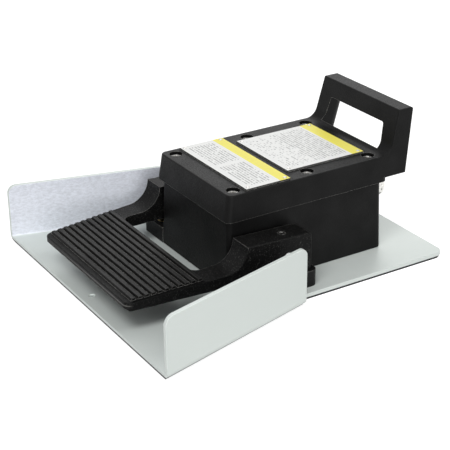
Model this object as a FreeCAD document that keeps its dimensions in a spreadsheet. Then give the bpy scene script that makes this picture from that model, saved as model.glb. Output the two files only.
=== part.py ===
"""Guarded foot pedal control: a cast tread on two arms, turning on a cross shaft through a closed box.

Millimetres, +Z up, the operator's side is -Y. The origin lies on the floor, under the middle of the plate.
"""
import FreeCAD, Part
import math
import os
import re

import Sketcher

Vector = FreeCAD.Vector

# Driving dimensions, in millimetres and degrees
SIZES = {
    # floor plate with its guard wings, and the mat under it
    "mat_thickness": 1.6,
    "mat_inset": 1.0,
    "mat_side_inset": 0.2,
    "mat_hole_margin": 1.5,
    "plate_length": 275.0,
    "plate_thickness": 3.0,
    "plate_rear_width": 168.0,
    "plate_corner_radius": 7.0,
    "wing_front_span": 256.6,
    "wing_rear_span": 186.0,
    "wing_length": 137.0,
    "wing_height": 47.0,
    "wing_bend_radius": 1.6,
    "wing_corner_radius": 7.0,
    "fixing_hole_diameter": 4.8,
    "fixing_hole_inset": 9.0,
    # cast box
    "housing_setback": 96.6,
    "housing_width": 101.8,
    "housing_length": 141.8,
    "housing_height": 59.4,
    "housing_side_lean": 2.3,
    "housing_front_lean": 1.6,
    "housing_rear_lean": 0.7,
    "housing_wall": 4.0,
    "housing_floor": 4.0,
    "housing_corner_radius": 4.0,
    "housing_foot_round": 0.8,
    "boss_diameter": 12.0,
    "lug_length": 62.6,
    "lug_proud": 2.0,
    "lug_corner_radius": 5.0,
    "bush_boss_diameter": 20.0,
    "bush_boss_proud": 1.2,
    # lid
    "skirt_overlap": 3.0,
    "skirt_clearance": 0.6,
    "skirt_wall": 3.0,
    "lid_height": 20.5,
    "lid_lean": 1.3,
    "lid_front_lean": 2.8,
    "lid_roof": 5.0,
    "lid_corner_radius": 5.0,
    "lid_edge_round": 1.2,
    "gasket_thickness": 2.0,
    "gasket_inset": 0.4,
    # carrying handle
    "handle_root": 10.0,
    "handle_post_width": 14.9,
    "handle_post_taper": 6.9,
    "handle_foot_rise": 3.2,
    "handle_foot_depth": 17.0,
    "handle_front_foot": 2.5,
    "handle_height": 34.2,
    "handle_front_top": 11.0,
    "handle_bar_depth": 13.4,
    "handle_bar_height": 13.6,
    "handle_sweep_radius": 10.0,
    "handle_window_radius": 1.8,
    "handle_grip_round": 8.0,
    # lid screws
    "lid_screw_side_inset": 9.5,
    "lid_screw_inset": 9.1,
    "lid_screw_middle_step": 65.4,
    "lid_screw_rear_inset": 12.4,
    "screw_diameter": 5.0,
    "screw_head_diameter": 8.5,
    "screw_head_height": 5.0,
    "screw_socket_width": 4.0,
    "screw_socket_depth": 2.6,
    "screw_length": 25.0,
    "screw_run_out": 1.0,
    "screw_clearance": 0.3,
    "thread_clearance": 0.06,
    "counterbore_diameter": 10.5,
    "counterbore_depth": 7.0,
    "base_screw_length": 14.0,
    "base_screw_head_diameter": 9.2,
    # label plates
    "label_pad_height": 0.6,
    "label_pad_margin": 0.3,
    "label_thickness": 0.6,
    "front_label_side_margin": 2.9,
    "front_label_length": 38.6,
    "front_label_setback": 16.5,
    "rear_label_setback": 61.1,
    "rear_label_margin": 12.0,
    "rear_label_screw_gap": 0.65,
    "rivet_diameter": 1.6,
    "rivet_head_diameter": 3.0,
    "rivet_head_height": 0.6,
    "rivet_length": 2.8,
    "rivet_inset": 3.0,
    # pedal
    "pivot_setback": 37.2,
    "pivot_rise": 28.8,
    "shaft_diameter": 8.0,
    "shaft_clearance": 0.05,
    "shaft_end_recess": 0.4,
    "arm_side_gap": 0.6,
    "arm_width": 20.1,
    "arm_front_reach": 35.5,
    "arm_tail_reach": 20.4,
    "arm_front_rise": 17.1,
    "arm_tail_rise": 14.8,
    "arm_front_drop": 10.6,
    "arm_tail_drop": 14.5,
    "arm_front_lean": 1.6,
    "arm_foot_rise": 1.0,
    "arm_sweep_radius": 18.0,
    "arm_tail_round": 2.5,
    "tread_reach": 130.6,
    "tread_length": 60.6,
    "tread_inset": 7.7,
    "tread_flare_reach": 42.8,
    "tread_rear_drop": 1.1,
    "tread_front_drop": 4.05,
    "tread_nose_height": 4.5,
    "tread_nose_sweep": 3.0,
    "tread_thickness": 6.6,
    "tread_corner_radius": 6.0,
    "throat_radius": 7.0,
    "pedal_edge_round": 0.8,
    "ridge_count": 11,
    "ridge_pitch": 5.13,
    "ridge_width": 4.0,
    "ridge_crest": 2.6,
    "ridge_height": 1.7,
    "ridge_margin": 2.7,
    "ridge_setback": 0.4,
    # set screws
    "set_screw_diameter": 6.0,
    "set_screw_length": 11.4,
    "set_screw_socket": 3.0,
    # bushes
    "bush_diameter": 12.0,
    "bush_flange_diameter": 17.0,
    "bush_flange_thickness": 1.5,
    "seat_clearance": 0.05,
    # return springs and rests
    "spring_reach": 26.0,
    "spring_wire": 1.6,
    "spring_diameter": 12.4,
    "spring_turns": 7,
    "spring_pocket_diameter": 15.0,
    "spring_arm_pocket_diameter": 16.2,
    "spring_lug_pocket": 7.5,
    "spring_arm_rise": 6.0,
    "spring_seat_gap": 0.25,
    "rest_pad_thickness": 1.0,
    "rest_pad_length": 7.0,
    "rest_pad_width": 12.0,
    "rest_gap": 0.25,
    # geared potentiometer
    "gear_module": 1.0,
    "sector_teeth": 120,
    "pinion_teeth": 12,
    "gear_width": 5.0,
    "gear_backlash": 0.2,
    "sector_side": 6.0,
    "hub_diameter": 15.0,
    "hub_length": 13.0,
    "hub_screw_diameter": 4.0,
    "spindle_diameter": 6.0,
    "spindle_overhang": 1.0,
    "spindle_end_gap": 0.5,
    "pot_diameter": 24.0,
    "pot_depth": 13.0,
    "pot_bush_diameter": 9.0,
    "pot_bush_length": 7.0,
    "pot_nut_width": 13.0,
    "pot_nut_thickness": 2.5,
    "bracket_thickness": 2.5,
    "pot_bracket_gap": 6.5,
    "pot_bracket_width": 26.0,
    "pot_bracket_foot": 20.0,
    "small_screw_diameter": 4.0,
    "small_screw_head_diameter": 7.0,
    "small_screw_head_height": 2.4,
    "small_screw_bite": 3.0,
    # snap switch
    "finger_reach": 18.0,
    "finger_tip": 3.0,
    "finger_width": 8.0,
    "finger_drop": 3.0,
    "finger_thickness": 6.0,
    "finger_side": -12.0,
    "finger_gap": 0.1,
    "plunger_diameter": 3.2,
    "plunger_proud": 3.2,
    "plunger_sunk": 4.5,
    "plunger_well": 8.0,
    "switch_length": 20.0,
    "switch_width": 6.4,
    "switch_height": 10.2,
    "switch_screw_diameter": 2.4,
    "switch_screw_spacing": 9.5,
    "switch_screw_rise": 2.9,
    "switch_screw_head_diameter": 4.4,
    "switch_screw_head_height": 1.6,
    "switch_bracket_foot": 18.0,
    "switch_bracket_margin": 1.5,
    # terminal block
    "terminal_length": 40.0,
    "terminal_width": 16.0,
    "terminal_height": 14.0,
    "terminal_inset": 28.8,
    "terminal_side": -16.0,
    "terminal_count": 4,
    "terminal_well": 7.0,
    "terminal_screw_diameter": 4.0,
    "terminal_screw_length": 5.0,
    # cord gland
    "gland_side": 19.0,
    "gland_rise": 39.2,
    "gland_boss_diameter": 30.0,
    "gland_boss_proud": 1.2,
    "gland_thread_diameter": 16.0,
    "gland_hex_width": 22.0,
    "gland_hex_length": 6.0,
    "gland_neck_diameter": 15.0,
    "gland_neck_length": 6.7,
    "gland_cap_diameter": 20.0,
    "gland_cap_length": 14.6,
    "gland_cap_dome": 5.0,
    "gland_bore_diameter": 9.0,
    "gland_seal_bore": 8.0,
    "gland_nut_thickness": 4.0,
    "gland_tail": 6.0,
}

# Places and sizes that follow from the driving dimensions
DERIVED = {
    "plate_front": "-plate_length / 2",
    "plate_rear": "plate_length / 2",
    "plate_top": "mat_thickness + plate_thickness",
    "rear_half": "plate_rear_width / 2",
    "wing_end": "plate_front + wing_length",
    "wing_front_half": "wing_front_span / 2",
    "wing_rear_half": "wing_rear_span / 2",
    "wing_flare": "atan((wing_front_half - wing_rear_half) / wing_length)",
    "wing_edge": "plate_thickness / cos(wing_flare)",
    "bend_outside": "wing_bend_radius + plate_thickness",
    "housing_front": "plate_front + housing_setback",
    "housing_rear": "housing_front + housing_length",
    "housing_half": "housing_width / 2",
    "floor_top": "plate_top + housing_floor",
    "rim_top": "plate_top + housing_height",
    "rim_half": "housing_half - housing_side_lean",
    "rim_front": "housing_front + housing_front_lean",
    "rim_rear": "housing_rear - housing_rear_lean",
    "skirt_bottom": "rim_top - skirt_overlap",
    "skirt_half": "rim_half + skirt_clearance + skirt_wall",
    "skirt_front": "rim_front - skirt_clearance - skirt_wall",
    "lid_rear": "rim_rear + skirt_clearance + skirt_wall",
    "lid_top": "skirt_bottom + lid_height",
    "lid_half": "skirt_half - lid_lean",
    "lid_front": "skirt_front + lid_front_lean",
    "ledge": "rim_top + gasket_thickness",
    "lid_screw_spread": "2 * (lid_half - lid_screw_side_inset)",
    "hollow_half": "lid_screw_spread / 2 - boss_diameter / 2",
    "hollow_front": "lid_front + lid_roof",
    "hollow_rear": "lid_rear - handle_root",
    "handle_top": "lid_top + handle_height",
    "handle_top_half": "lid_half - lid_lean * handle_height / lid_height",
    "handle_top_inside": "handle_top - handle_bar_height",
    "window_top_half": "handle_top_half - handle_post_width",
    "window_foot_half": "window_top_half + handle_post_taper",
    "label_seat": "lid_top + label_pad_height",
    "label_face": "label_seat + label_thickness",
    "screw_row_front": "lid_front + lid_screw_inset",
    "screw_row_middle": "screw_row_front + lid_screw_middle_step",
    "screw_row_rear": "lid_rear - lid_screw_rear_inset",
    "screw_seat": "lid_top - counterbore_depth",
    "front_label_width": "2 * (lid_half - front_label_side_margin)",
    "rear_label_width": "lid_screw_spread - counterbore_diameter - 2 * rear_label_screw_gap",
    "rear_label_length": "lid_rear - lid_front - rear_label_setback - rear_label_margin",
    "pivot_y": "housing_front + pivot_setback",
    "pivot_z": "plate_top + pivot_rise",
    "bush_seat": "housing_half + bush_boss_proud",
    "arm_inside": "bush_seat + bush_flange_thickness + arm_side_gap",
    "arm_half": "arm_inside + arm_width",
    "arm_span": "2 * arm_half",
    "arm_middle": "arm_half - arm_width / 2",
    "lug_top": "pivot_z - arm_tail_drop - rest_pad_thickness - rest_gap",
    "tread_front": "pivot_y - tread_reach",
    "tread_rear": "tread_front + tread_length",
    "tread_half": "arm_half - tread_inset",
    "tread_slope": "(tread_front_drop - tread_rear_drop) / tread_length",
    "flare_rear": "pivot_y - tread_flare_reach",
    "tread_taper": "tread_inset / (flare_rear - tread_front)",
    "tread_flare": "atan(tread_taper)",
    "corner_run": "tread_corner_radius * tan(45 deg - tread_flare / 2)",
    "spring_y": "pivot_y - spring_reach",
    "spring_foot": "lug_top - spring_lug_pocket",
    "spring_head": "pivot_z + spring_arm_rise",
    "gear_centres": "gear_module * (sector_teeth + pinion_teeth) / 2",
    "pot_y": "pivot_y + gear_centres",
    "pot_face": "sector_side + gear_width + pot_bracket_gap",
    "pot_back": "pot_face + bracket_thickness",
    "plunger_y": "pivot_y - finger_reach",
    "plunger_top": "pivot_z - finger_drop - finger_gap",
    "switch_top": "plunger_top - plunger_proud",
    "switch_foot": "switch_top - switch_height",
    "switch_face": "finger_side - switch_width / 2",
    "spindle_start": "sector_side - spindle_overhang",
    "spindle_end": "pot_back + pot_depth / 2",
    "terminal_y": "housing_rear - terminal_inset",
    "terminal_floor": "floor_top + terminal_height - terminal_well",
    "gland_z": "plate_top + gland_rise",
    "gland_seat": "housing_rear + gland_boss_proud",
    "gland_nut_face": "rim_rear - housing_wall",
    "gland_start": "gland_nut_face - gland_tail",
}

doc = FreeCAD.newDocument("foot_pedal_control")
sheet = doc.addObject("Spreadsheet::Sheet", "sizes")
for row, (alias, size) in enumerate(SIZES.items(), start=1):
    sheet.set(f"A{row}", alias)
    sheet.set(f"B{row}", str(size))
    sheet.setAlias(f"B{row}", alias)
doc.recompute()

nodes = []


def expand(formula):
    """Write a formula of plain names as one of the sheet's cells."""
    def swap(match):
        word = match.group()
        if word in DERIVED:
            return "(" + expand(DERIVED[word]) + ")"
        if word in SIZES:
            return "sizes." + word
        return word
    return re.sub(r"[a-z_]+", swap, str(formula))


def number(formula):
    """The present value of a formula."""
    return float(sheet.evalExpression(expand(formula)))


def bind(item, name, formula):
    """Tie a property to a formula of the sheet's cells."""
    item.setExpression(name, expand(formula))


def node(item, label):
    """Keep an object as a sub-part under its own label."""
    item.Label = label
    nodes.append(item)
    return item


# Primitives and booleans
TURNS = {
    "x": FreeCAD.Rotation(Vector(0, 1, 0), 90),
    "y": FreeCAD.Rotation(Vector(1, 0, 0), -90),
    "z": FreeCAD.Rotation(),
}


def place(item, at, axis="z"):
    """Put an object at three formulas, its own axis along a row axis."""
    item.Placement = FreeCAD.Placement(Vector(), TURNS[axis])
    for letter, formula in zip("xyz", at):
        bind(item, f"Placement.Base.{letter}", formula)
    return item


def block(at, size):
    """A box from its lowest corner."""
    item = doc.addObject("Part::Box", "block")
    for name, formula in zip(("Length", "Width", "Height"), size):
        bind(item, name, formula)
    return place(item, at)


def rod(at, diameter, length, axis="z"):
    """A cylinder from the middle of its first end."""
    item = doc.addObject("Part::Cylinder", "rod")
    bind(item, "Radius", f"({diameter}) / 2")
    bind(item, "Height", length)
    return place(item, at, axis)


def taper(at, first, last, length, axis="z"):
    """A cone from the middle of its first end."""
    item = doc.addObject("Part::Cone", "taper")
    bind(item, "Radius1", f"({first}) / 2")
    bind(item, "Radius2", f"({last}) / 2")
    bind(item, "Height", length)
    return place(item, at, axis)


def hexagon(at, width, length, axis="z"):
    """A six-sided bar, given across its flats."""
    item = doc.addObject("Part::Prism", "hexagon")
    item.Polygon = 6
    bind(item, "Circumradius", f"({width}) / 2 / cos(30)")
    bind(item, "Height", length)
    return place(item, at, axis)


def cut(base, *tools):
    """One object less the others."""
    for tool in tools:
        item = doc.addObject("Part::Cut", "cut")
        item.Base = base
        item.Tool = tool
        base = item
    return base


def fuse(*shapes):
    """Several objects joined into one solid."""
    item = doc.addObject("Part::MultiFuse", "fuse")
    item.Shapes = list(shapes)
    item.Refine = True
    return item


def group(*shapes):
    """Several separate solids under one name."""
    item = doc.addObject("Part::Compound", "group")
    item.Links = list(shapes)
    return item


# Bodies, sketches and features
def new_body(label):
    return node(doc.addObject("PartDesign::Body", label), label)


def new_sketch(body, role, offset="0"):
    """A sketch on one of the body's own planes, moved along the plane's normal."""
    sketch = body.newObject("Sketcher::SketchObject", body.Name + "_sketch")
    plane = [item for item in body.Origin.OriginFeatures if item.Role == role][0]
    sketch.AttachmentSupport = [(plane, "")]
    sketch.MapMode = "FlatFace"
    bind(sketch, "AttachmentOffset.Base.z", offset)
    return sketch


def pin(sketch, geometry, point, x, y):
    """Hold a point of the sketch at two formulas."""
    for kind, formula in (("DistanceX", x), ("DistanceY", y)):
        held = Sketcher.Constraint(kind, -1, 1, geometry, point, number(formula))
        index = sketch.addConstraint(held)
        bind(sketch, f"Constraints[{index}]", formula)


def bent_side(start, end, centre):
    """The arc about a centre between two corners, the short way round."""
    ring = Part.Circle(centre, Vector(0, 0, 1), start.distanceToPoint(centre))
    first, last = ring.parameter(start), ring.parameter(end)
    if (last - first) % (2 * math.pi) > math.pi:
        first, last = last, first
    return Part.ArcOfCircle(ring, first, last)


def outline(sketch, corners, bends=None):
    """A closed outline through its corners, with arcs for the sides that have a centre and a radius."""
    bends = bends or {}
    first = sketch.GeometryCount
    count = len(corners)
    spots = [Vector(number(x), number(y), 0) for x, y in corners]
    ends = []
    for index, start in enumerate(spots):
        end = spots[(index + 1) % count]
        side = Part.LineSegment(start, end)
        if index in bends:
            centre_x, centre_y, radius = bends[index]
            side = bent_side(start, end, Vector(number(centre_x), number(centre_y), 0))
        sketch.addGeometry(side, False)
        forward = sketch.Geometry[first + index].StartPoint.distanceToPoint(start) < TOUCH
        ends.append((1, 2) if forward else (2, 1))
    for index in range(count):
        follower = (index + 1) % count
        sketch.addConstraint(Sketcher.Constraint("Coincident", first + index, ends[index][1],
                                                 first + follower, ends[follower][0]))
    for index, (x, y) in enumerate(corners):
        pin(sketch, first + index, ends[index][0], x, y)
    for index, (centre_x, centre_y, radius) in bends.items():
        held = sketch.addConstraint(Sketcher.Constraint("Radius", first + index, number(radius)))
        bind(sketch, f"Constraints[{held}]", radius)


def rectangle(sketch, low_x, low_y, high_x, high_y):
    outline(sketch, [(low_x, low_y), (high_x, low_y), (high_x, high_y), (low_x, high_y)])


def circle(sketch, x, y, diameter):
    spot = Vector(number(x), number(y), 0)
    radius = number(f"({diameter}) / 2")
    index = sketch.addGeometry(Part.Circle(spot, Vector(0, 0, 1), radius), False)
    pin(sketch, index, 3, x, y)
    held = sketch.addConstraint(Sketcher.Constraint("Radius", index, radius))
    bind(sketch, f"Constraints[{held}]", f"({diameter}) / 2")


def extrude(kind, body, sketch, length, both_ways=False, reverse=False):
    """A pad or a pocket of a sketch."""
    feature = body.newObject("PartDesign::" + kind, body.Name + "_" + kind.lower())
    feature.Profile = sketch
    if both_ways:
        feature.SideType = "Symmetric"
    feature.Reversed = reverse
    bind(feature, "Length", length)
    doc.recompute()
    return feature


def pad(body, sketch, length, **ways):
    return extrude("Pad", body, sketch, length, **ways)


def pocket(body, sketch, length, **ways):
    before = body.Shape.Volume
    feature = extrude("Pocket", body, sketch, length, **ways)
    if not body.Shape.Volume < before:
        raise RuntimeError(feature.Name + " cut nothing")
    return feature


def wedge(kind, body, foot, top, foot_z, top_z):
    """A block whose four walls lean, between a foot and a top rectangle, added or taken away."""
    feature = body.newObject(f"PartDesign::{kind}Wedge", body.Name + "_wedge")
    plane = [item for item in body.Origin.OriginFeatures if item.Role == "XZ_Plane"][0]
    feature.AttachmentSupport = [(plane, "")]
    feature.MapMode = "FlatFace"
    for mark, (low_x, low_y, high_x, high_y) in (("", foot), ("2", top)):
        bind(feature, f"X{mark}min", low_x)
        bind(feature, f"X{mark}max", high_x)
        bind(feature, f"Z{mark}min", f"-({high_y})")
        bind(feature, f"Z{mark}max", f"-({low_y})")
    bind(feature, "Ymin", foot_z)
    bind(feature, "Ymax", top_z)
    doc.recompute()
    return feature


def edges(body, test):
    return [f"Edge{index}" for index, edge in enumerate(body.Tip.Shape.Edges, start=1) if test(edge)]


def dress(kind, body, size_name, size, test):
    """A fillet or chamfer on the edges that pass a test."""
    base = body.Tip
    names = edges(body, test)
    if not names:
        raise RuntimeError(f"{body.Label}: no edge for a {kind.lower()}")
    feature = body.newObject("PartDesign::" + kind, body.Name + "_" + kind.lower())
    feature.Base = (base, names)
    bind(feature, size_name, size)
    doc.recompute()
    return feature


def fillet(body, radius, test):
    return dress("Fillet", body, "Radius", radius, test)


def chamfer(body, size, test):
    return dress("Chamfer", body, "Size", size, test)


TOUCH = 1e-3


def near(value, formula):
    return abs(value - number(formula)) < TOUCH


def middle(edge):
    return edge.BoundBox.Center


def is_flat(edge, letter):
    """Whether an edge lies at one height, or one X or Y."""
    return getattr(edge.BoundBox, letter.upper() + "Length") < TOUCH


def runs_along(edge, letter):
    """Whether a straight edge is parallel to a row axis."""
    others = [other for other in "xyz" if other != letter]
    return isinstance(edge.Curve, Part.Line) and all(is_flat(edge, other) for other in others)


SIDES = ((1, "right"), (-1, "left"))
CORNER_ROWS = ("screw_row_front", "screw_row_rear")
LID_ROWS = ("screw_row_front", "screw_row_middle", "screw_row_rear")


def screw_places(rows):
    return [(f"{side} * lid_screw_spread / 2", row) for row in rows for side, name in SIDES]


# Floor plate
def make_base_plate():
    body = new_body("base_plate")
    sheet_outline = new_sketch(body, "XY_Plane", "mat_thickness")
    outline(sheet_outline, [
        ("-wing_front_half", "plate_front"),
        ("wing_front_half", "plate_front"),
        ("wing_rear_half", "wing_end"),
        ("rear_half", "wing_end"),
        ("rear_half", "plate_rear"),
        ("-rear_half", "plate_rear"),
        ("-rear_half", "wing_end"),
        ("-wing_rear_half", "wing_end"),
    ])
    pad(body, sheet_outline, "plate_thickness")
    wings = new_sketch(body, "XY_Plane", "mat_thickness")
    for side, name in SIDES:
        outline(wings, [
            (f"{side} * wing_front_half", "plate_front"),
            (f"{side} * wing_rear_half", "wing_end"),
            (f"{side} * (wing_rear_half - wing_edge)", "wing_end"),
            (f"{side} * (wing_front_half - wing_edge)", "plate_front"),
        ])
    pad(body, wings, "wing_height")

    def bend_at(height):
        return lambda edge: (is_flat(edge, "z") and near(middle(edge).z, height)
                             and edge.BoundBox.XLength > TOUCH
                             and near(edge.BoundBox.YLength, "wing_length"))

    fillet(body, "wing_bend_radius", bend_at("plate_top"))
    fillet(body, "bend_outside", bend_at("mat_thickness"))
    wing_top = "mat_thickness + wing_height"
    fillet(body, "wing_corner_radius",
           lambda edge: runs_along(edge, "x") and near(middle(edge).z, wing_top))
    fillet(body, "plate_corner_radius",
           lambda edge: runs_along(edge, "z") and near(middle(edge).y, "plate_rear"))
    holes = new_sketch(body, "XY_Plane", "mat_thickness")
    circle(holes, "0", "plate_front + fixing_hole_inset", "fixing_hole_diameter")
    circle(holes, "0", "plate_rear - fixing_hole_inset", "fixing_hole_diameter")
    pocket(body, holes, "plate_thickness", reverse=True)
    screw_holes = new_sketch(body, "XY_Plane", "mat_thickness")
    for x, y in screw_places(CORNER_ROWS):
        circle(screw_holes, x, y, "screw_diameter + 2 * screw_clearance")
    pocket(body, screw_holes, "plate_thickness", reverse=True)
    hole_radius = "screw_diameter / 2 + screw_clearance"
    chamfer(body, "(base_screw_head_diameter - screw_diameter) / 2",
            lambda edge: isinstance(edge.Curve, Part.Circle) and near(edge.Curve.Radius, hole_radius)
            and near(middle(edge).z, "mat_thickness"))


def make_grip_mat():
    body = new_body("grip_mat")
    plan = new_sketch(body, "XY_Plane")
    front_half = "(wing_front_half - bend_outside)"
    waist_half = "(wing_rear_half - bend_outside)"
    tail_half = "(rear_half - mat_side_inset)"
    front = "plate_front + mat_inset"
    rear = "plate_rear - mat_inset"
    outline(plan, [
        ("-" + front_half, front),
        (front_half, front),
        (waist_half, "wing_end"),
        (tail_half, "wing_end"),
        (tail_half, rear),
        ("-" + tail_half, rear),
        ("-" + tail_half, "wing_end"),
        ("-" + waist_half, "wing_end"),
    ])
    circle(plan, "0", "plate_front + fixing_hole_inset", "fixing_hole_diameter + 2 * mat_hole_margin")
    circle(plan, "0", "plate_rear - fixing_hole_inset", "fixing_hole_diameter + 2 * mat_hole_margin")
    pad(body, plan, "mat_thickness")
    fillet(body, "plate_corner_radius",
           lambda edge: runs_along(edge, "z") and near(middle(edge).y, rear))


# Box and lid
def make_housing():
    body = new_body("housing")
    foot = ("-housing_half", "housing_front", "housing_half", "housing_rear")
    rim = ("-rim_half", "rim_front", "rim_half", "rim_rear")
    wedge("Additive", body, foot, rim, "plate_top", "rim_top")
    fillet(body, "housing_corner_radius", lambda edge: near(edge.BoundBox.ZLength, "housing_height"))
    fillet(body, "housing_foot_round", lambda edge: is_flat(edge, "z") and near(middle(edge).z, "plate_top"))
    lugs = new_sketch(body, "XY_Plane", "plate_top")
    for side, name in SIDES:
        inner = f"{side} * (housing_half - housing_wall / 2)"
        outer = f"{side} * (arm_half + lug_proud)"
        rectangle(lugs, inner, "housing_front", outer, "housing_front + lug_length")
    pad(body, lugs, "lug_top - plate_top")
    fillet(body, "lug_corner_radius",
           lambda edge: runs_along(edge, "z") and near(abs(middle(edge).x), "arm_half + lug_proud")
           and near(middle(edge).y, "housing_front + lug_length"))
    bush_bosses = new_sketch(body, "YZ_Plane")
    circle(bush_bosses, "pivot_y", "pivot_z", "bush_boss_diameter")
    pad(body, bush_bosses, "2 * bush_seat", both_ways=True)
    gland_boss = new_sketch(body, "XZ_Plane", "-gland_seat")
    circle(gland_boss, "gland_side", "gland_z", "gland_boss_diameter")
    pad(body, gland_boss, "housing_wall")
    cavity_foot = ("housing_wall - housing_half", "housing_front + housing_wall",
                   "housing_half - housing_wall", "housing_rear - housing_wall")
    cavity_mouth = ("housing_wall - rim_half", "rim_front + housing_wall",
                    "rim_half - housing_wall", "rim_rear - housing_wall")
    wedge("Subtractive", body, cavity_foot, cavity_mouth, "floor_top", "rim_top")
    columns = new_sketch(body, "XY_Plane", "plate_top")
    for x, y in screw_places(LID_ROWS):
        circle(columns, x, y, "boss_diameter")
    pad(body, columns, "housing_height")
    bore = "screw_diameter + 2 * thread_clearance"
    lid_holes = new_sketch(body, "XY_Plane", "rim_top")
    for x, y in screw_places(LID_ROWS):
        circle(lid_holes, x, y, bore)
    pocket(body, lid_holes, "rim_top - screw_seat + screw_length + screw_run_out")
    base_holes = new_sketch(body, "XY_Plane", "plate_top")
    for x, y in screw_places(CORNER_ROWS):
        circle(base_holes, x, y, bore)
    pocket(body, base_holes, "base_screw_length", reverse=True)
    shaft_hole = new_sketch(body, "YZ_Plane")
    circle(shaft_hole, "pivot_y", "pivot_z", "bush_diameter + 2 * seat_clearance")
    pocket(body, shaft_hole, "2 * arm_half", both_ways=True)
    gland_hole = new_sketch(body, "XZ_Plane", "-gland_seat")
    circle(gland_hole, "gland_side", "gland_z", "gland_thread_diameter + 2 * thread_clearance")
    pocket(body, gland_hole, "gland_seat - gland_nut_face + gland_nut_thickness", reverse=True)
    spring_wells = new_sketch(body, "XY_Plane", "lug_top")
    for side, name in SIDES:
        circle(spring_wells, f"{side} * arm_middle", "spring_y", "spring_pocket_diameter")
    pocket(body, spring_wells, "spring_lug_pocket")
    small_holes = new_sketch(body, "XY_Plane", "floor_top")
    for x, y in bracket_screw_places():
        circle(small_holes, x, y, "small_screw_diameter + 2 * thread_clearance")
    pocket(body, small_holes, "small_screw_bite + thread_clearance")


def make_lid():
    body = new_body("lid")
    skirt = ("-skirt_half", "skirt_front", "skirt_half", "lid_rear")
    crown = ("-lid_half", "lid_front", "lid_half", "lid_rear")
    wedge("Additive", body, skirt, crown, "skirt_bottom", "lid_top")
    fillet(body, "lid_corner_radius", lambda edge: near(edge.BoundBox.ZLength, "lid_height"))
    side = new_sketch(body, "YZ_Plane")
    outline(side, [
        ("lid_rear - handle_root", "skirt_bottom + handle_foot_rise"),
        ("lid_rear + handle_foot_depth", "skirt_bottom + handle_foot_rise"),
        ("lid_rear + handle_front_top + handle_bar_depth", "handle_top"),
        ("lid_rear + handle_front_top", "handle_top"),
        ("lid_rear + handle_front_foot", "lid_top"),
        ("lid_rear - handle_root", "lid_top"),
    ])
    pad(body, side, "2 * (skirt_half + skirt_wall)", both_ways=True)
    flanks = new_sketch(body, "XZ_Plane", "handle_root - lid_rear")
    for hand, name in SIDES:
        outline(flanks, [
            (f"{hand} * skirt_half", "skirt_bottom"),
            (f"{hand} * handle_top_half", "handle_top"),
            (f"{hand} * handle_top_half", "handle_top + skirt_wall"),
            (f"{hand} * (skirt_half + 2 * skirt_wall)", "handle_top + skirt_wall"),
            (f"{hand} * (skirt_half + 2 * skirt_wall)", "skirt_bottom"),
        ])
    pocket(body, flanks, "handle_root + handle_foot_depth + handle_front_top + handle_bar_depth")
    fillet(body, "handle_sweep_radius",
           lambda edge: runs_along(edge, "x") and near(middle(edge).z, "lid_top")
           and near(middle(edge).y, "lid_rear + handle_front_foot"))
    fillet(body, "lid_edge_round",
           lambda edge: is_flat(edge, "z") and (near(middle(edge).z, "lid_top")
                                                or near(middle(edge).z, "handle_top")))
    window = new_sketch(body, "XZ_Plane", "-lid_rear")
    outline(window, [
        ("-window_foot_half", "skirt_bottom"),
        ("window_foot_half", "skirt_bottom"),
        ("window_top_half", "handle_top_inside"),
        ("-window_top_half", "handle_top_inside"),
    ])
    pocket(body, window, "handle_foot_depth + handle_front_top + handle_bar_depth")
    fillet(body, "handle_window_radius",
           lambda edge: near(abs(middle(edge).x), "window_top_half")
           and near(middle(edge).z, "handle_top_inside"))
    fillet(body, "handle_grip_round",
           lambda edge: number("window_top_half") < abs(middle(edge).x) < number("window_foot_half")
           and edge.BoundBox.ZLength > edge.BoundBox.YLength
           and edge.BoundBox.YMin > number("lid_rear + handle_foot_depth - handle_window_radius"))
    mouth = new_sketch(body, "XY_Plane", "skirt_bottom")
    rectangle(mouth, "skirt_wall - skirt_half", "skirt_front + skirt_wall",
              "skirt_half - skirt_wall", "lid_rear - skirt_wall")
    pocket(body, mouth, "ledge - skirt_bottom", reverse=True)
    hollow = new_sketch(body, "XY_Plane", "ledge")
    rectangle(hollow, "-hollow_half", "hollow_front", "hollow_half", "hollow_rear")
    pocket(body, hollow, "lid_top - lid_roof - ledge", reverse=True)
    label_pads = new_sketch(body, "XY_Plane", "lid_top")
    for name in ("front", "rear"):
        half = f"({name}_label_width / 2 + label_pad_margin)"
        start = f"lid_front + {name}_label_setback - label_pad_margin"
        end = f"lid_front + {name}_label_setback + {name}_label_length + label_pad_margin"
        rectangle(label_pads, "-" + half, start, half, end)
    pad(body, label_pads, "label_pad_height")
    heads = new_sketch(body, "XY_Plane", "lid_top")
    for x, y in screw_places(LID_ROWS):
        circle(heads, x, y, "counterbore_diameter")
    pocket(body, heads, "counterbore_depth")
    shanks = new_sketch(body, "XY_Plane", "lid_top")
    for x, y in screw_places(LID_ROWS):
        circle(shanks, x, y, "screw_diameter + 2 * screw_clearance")
    pocket(body, shanks, "lid_height")
    pins = new_sketch(body, "XY_Plane", "label_seat")
    for x, y in rivet_places():
        circle(pins, x, y, "rivet_diameter + 2 * thread_clearance")
    pocket(body, pins, "rivet_length")


def make_lid_gasket():
    body = new_body("lid_gasket")
    plan = new_sketch(body, "XY_Plane", "rim_top")
    rectangle(plan, "gasket_inset - rim_half", "rim_front + gasket_inset",
              "rim_half - gasket_inset", "rim_rear - gasket_inset")
    rectangle(plan, "-hollow_half", "hollow_front", "hollow_half", "hollow_rear")
    for x, y in screw_places(LID_ROWS):
        circle(plan, x, y, "screw_diameter + 2 * screw_clearance")
    pad(body, plan, "gasket_thickness")


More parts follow.
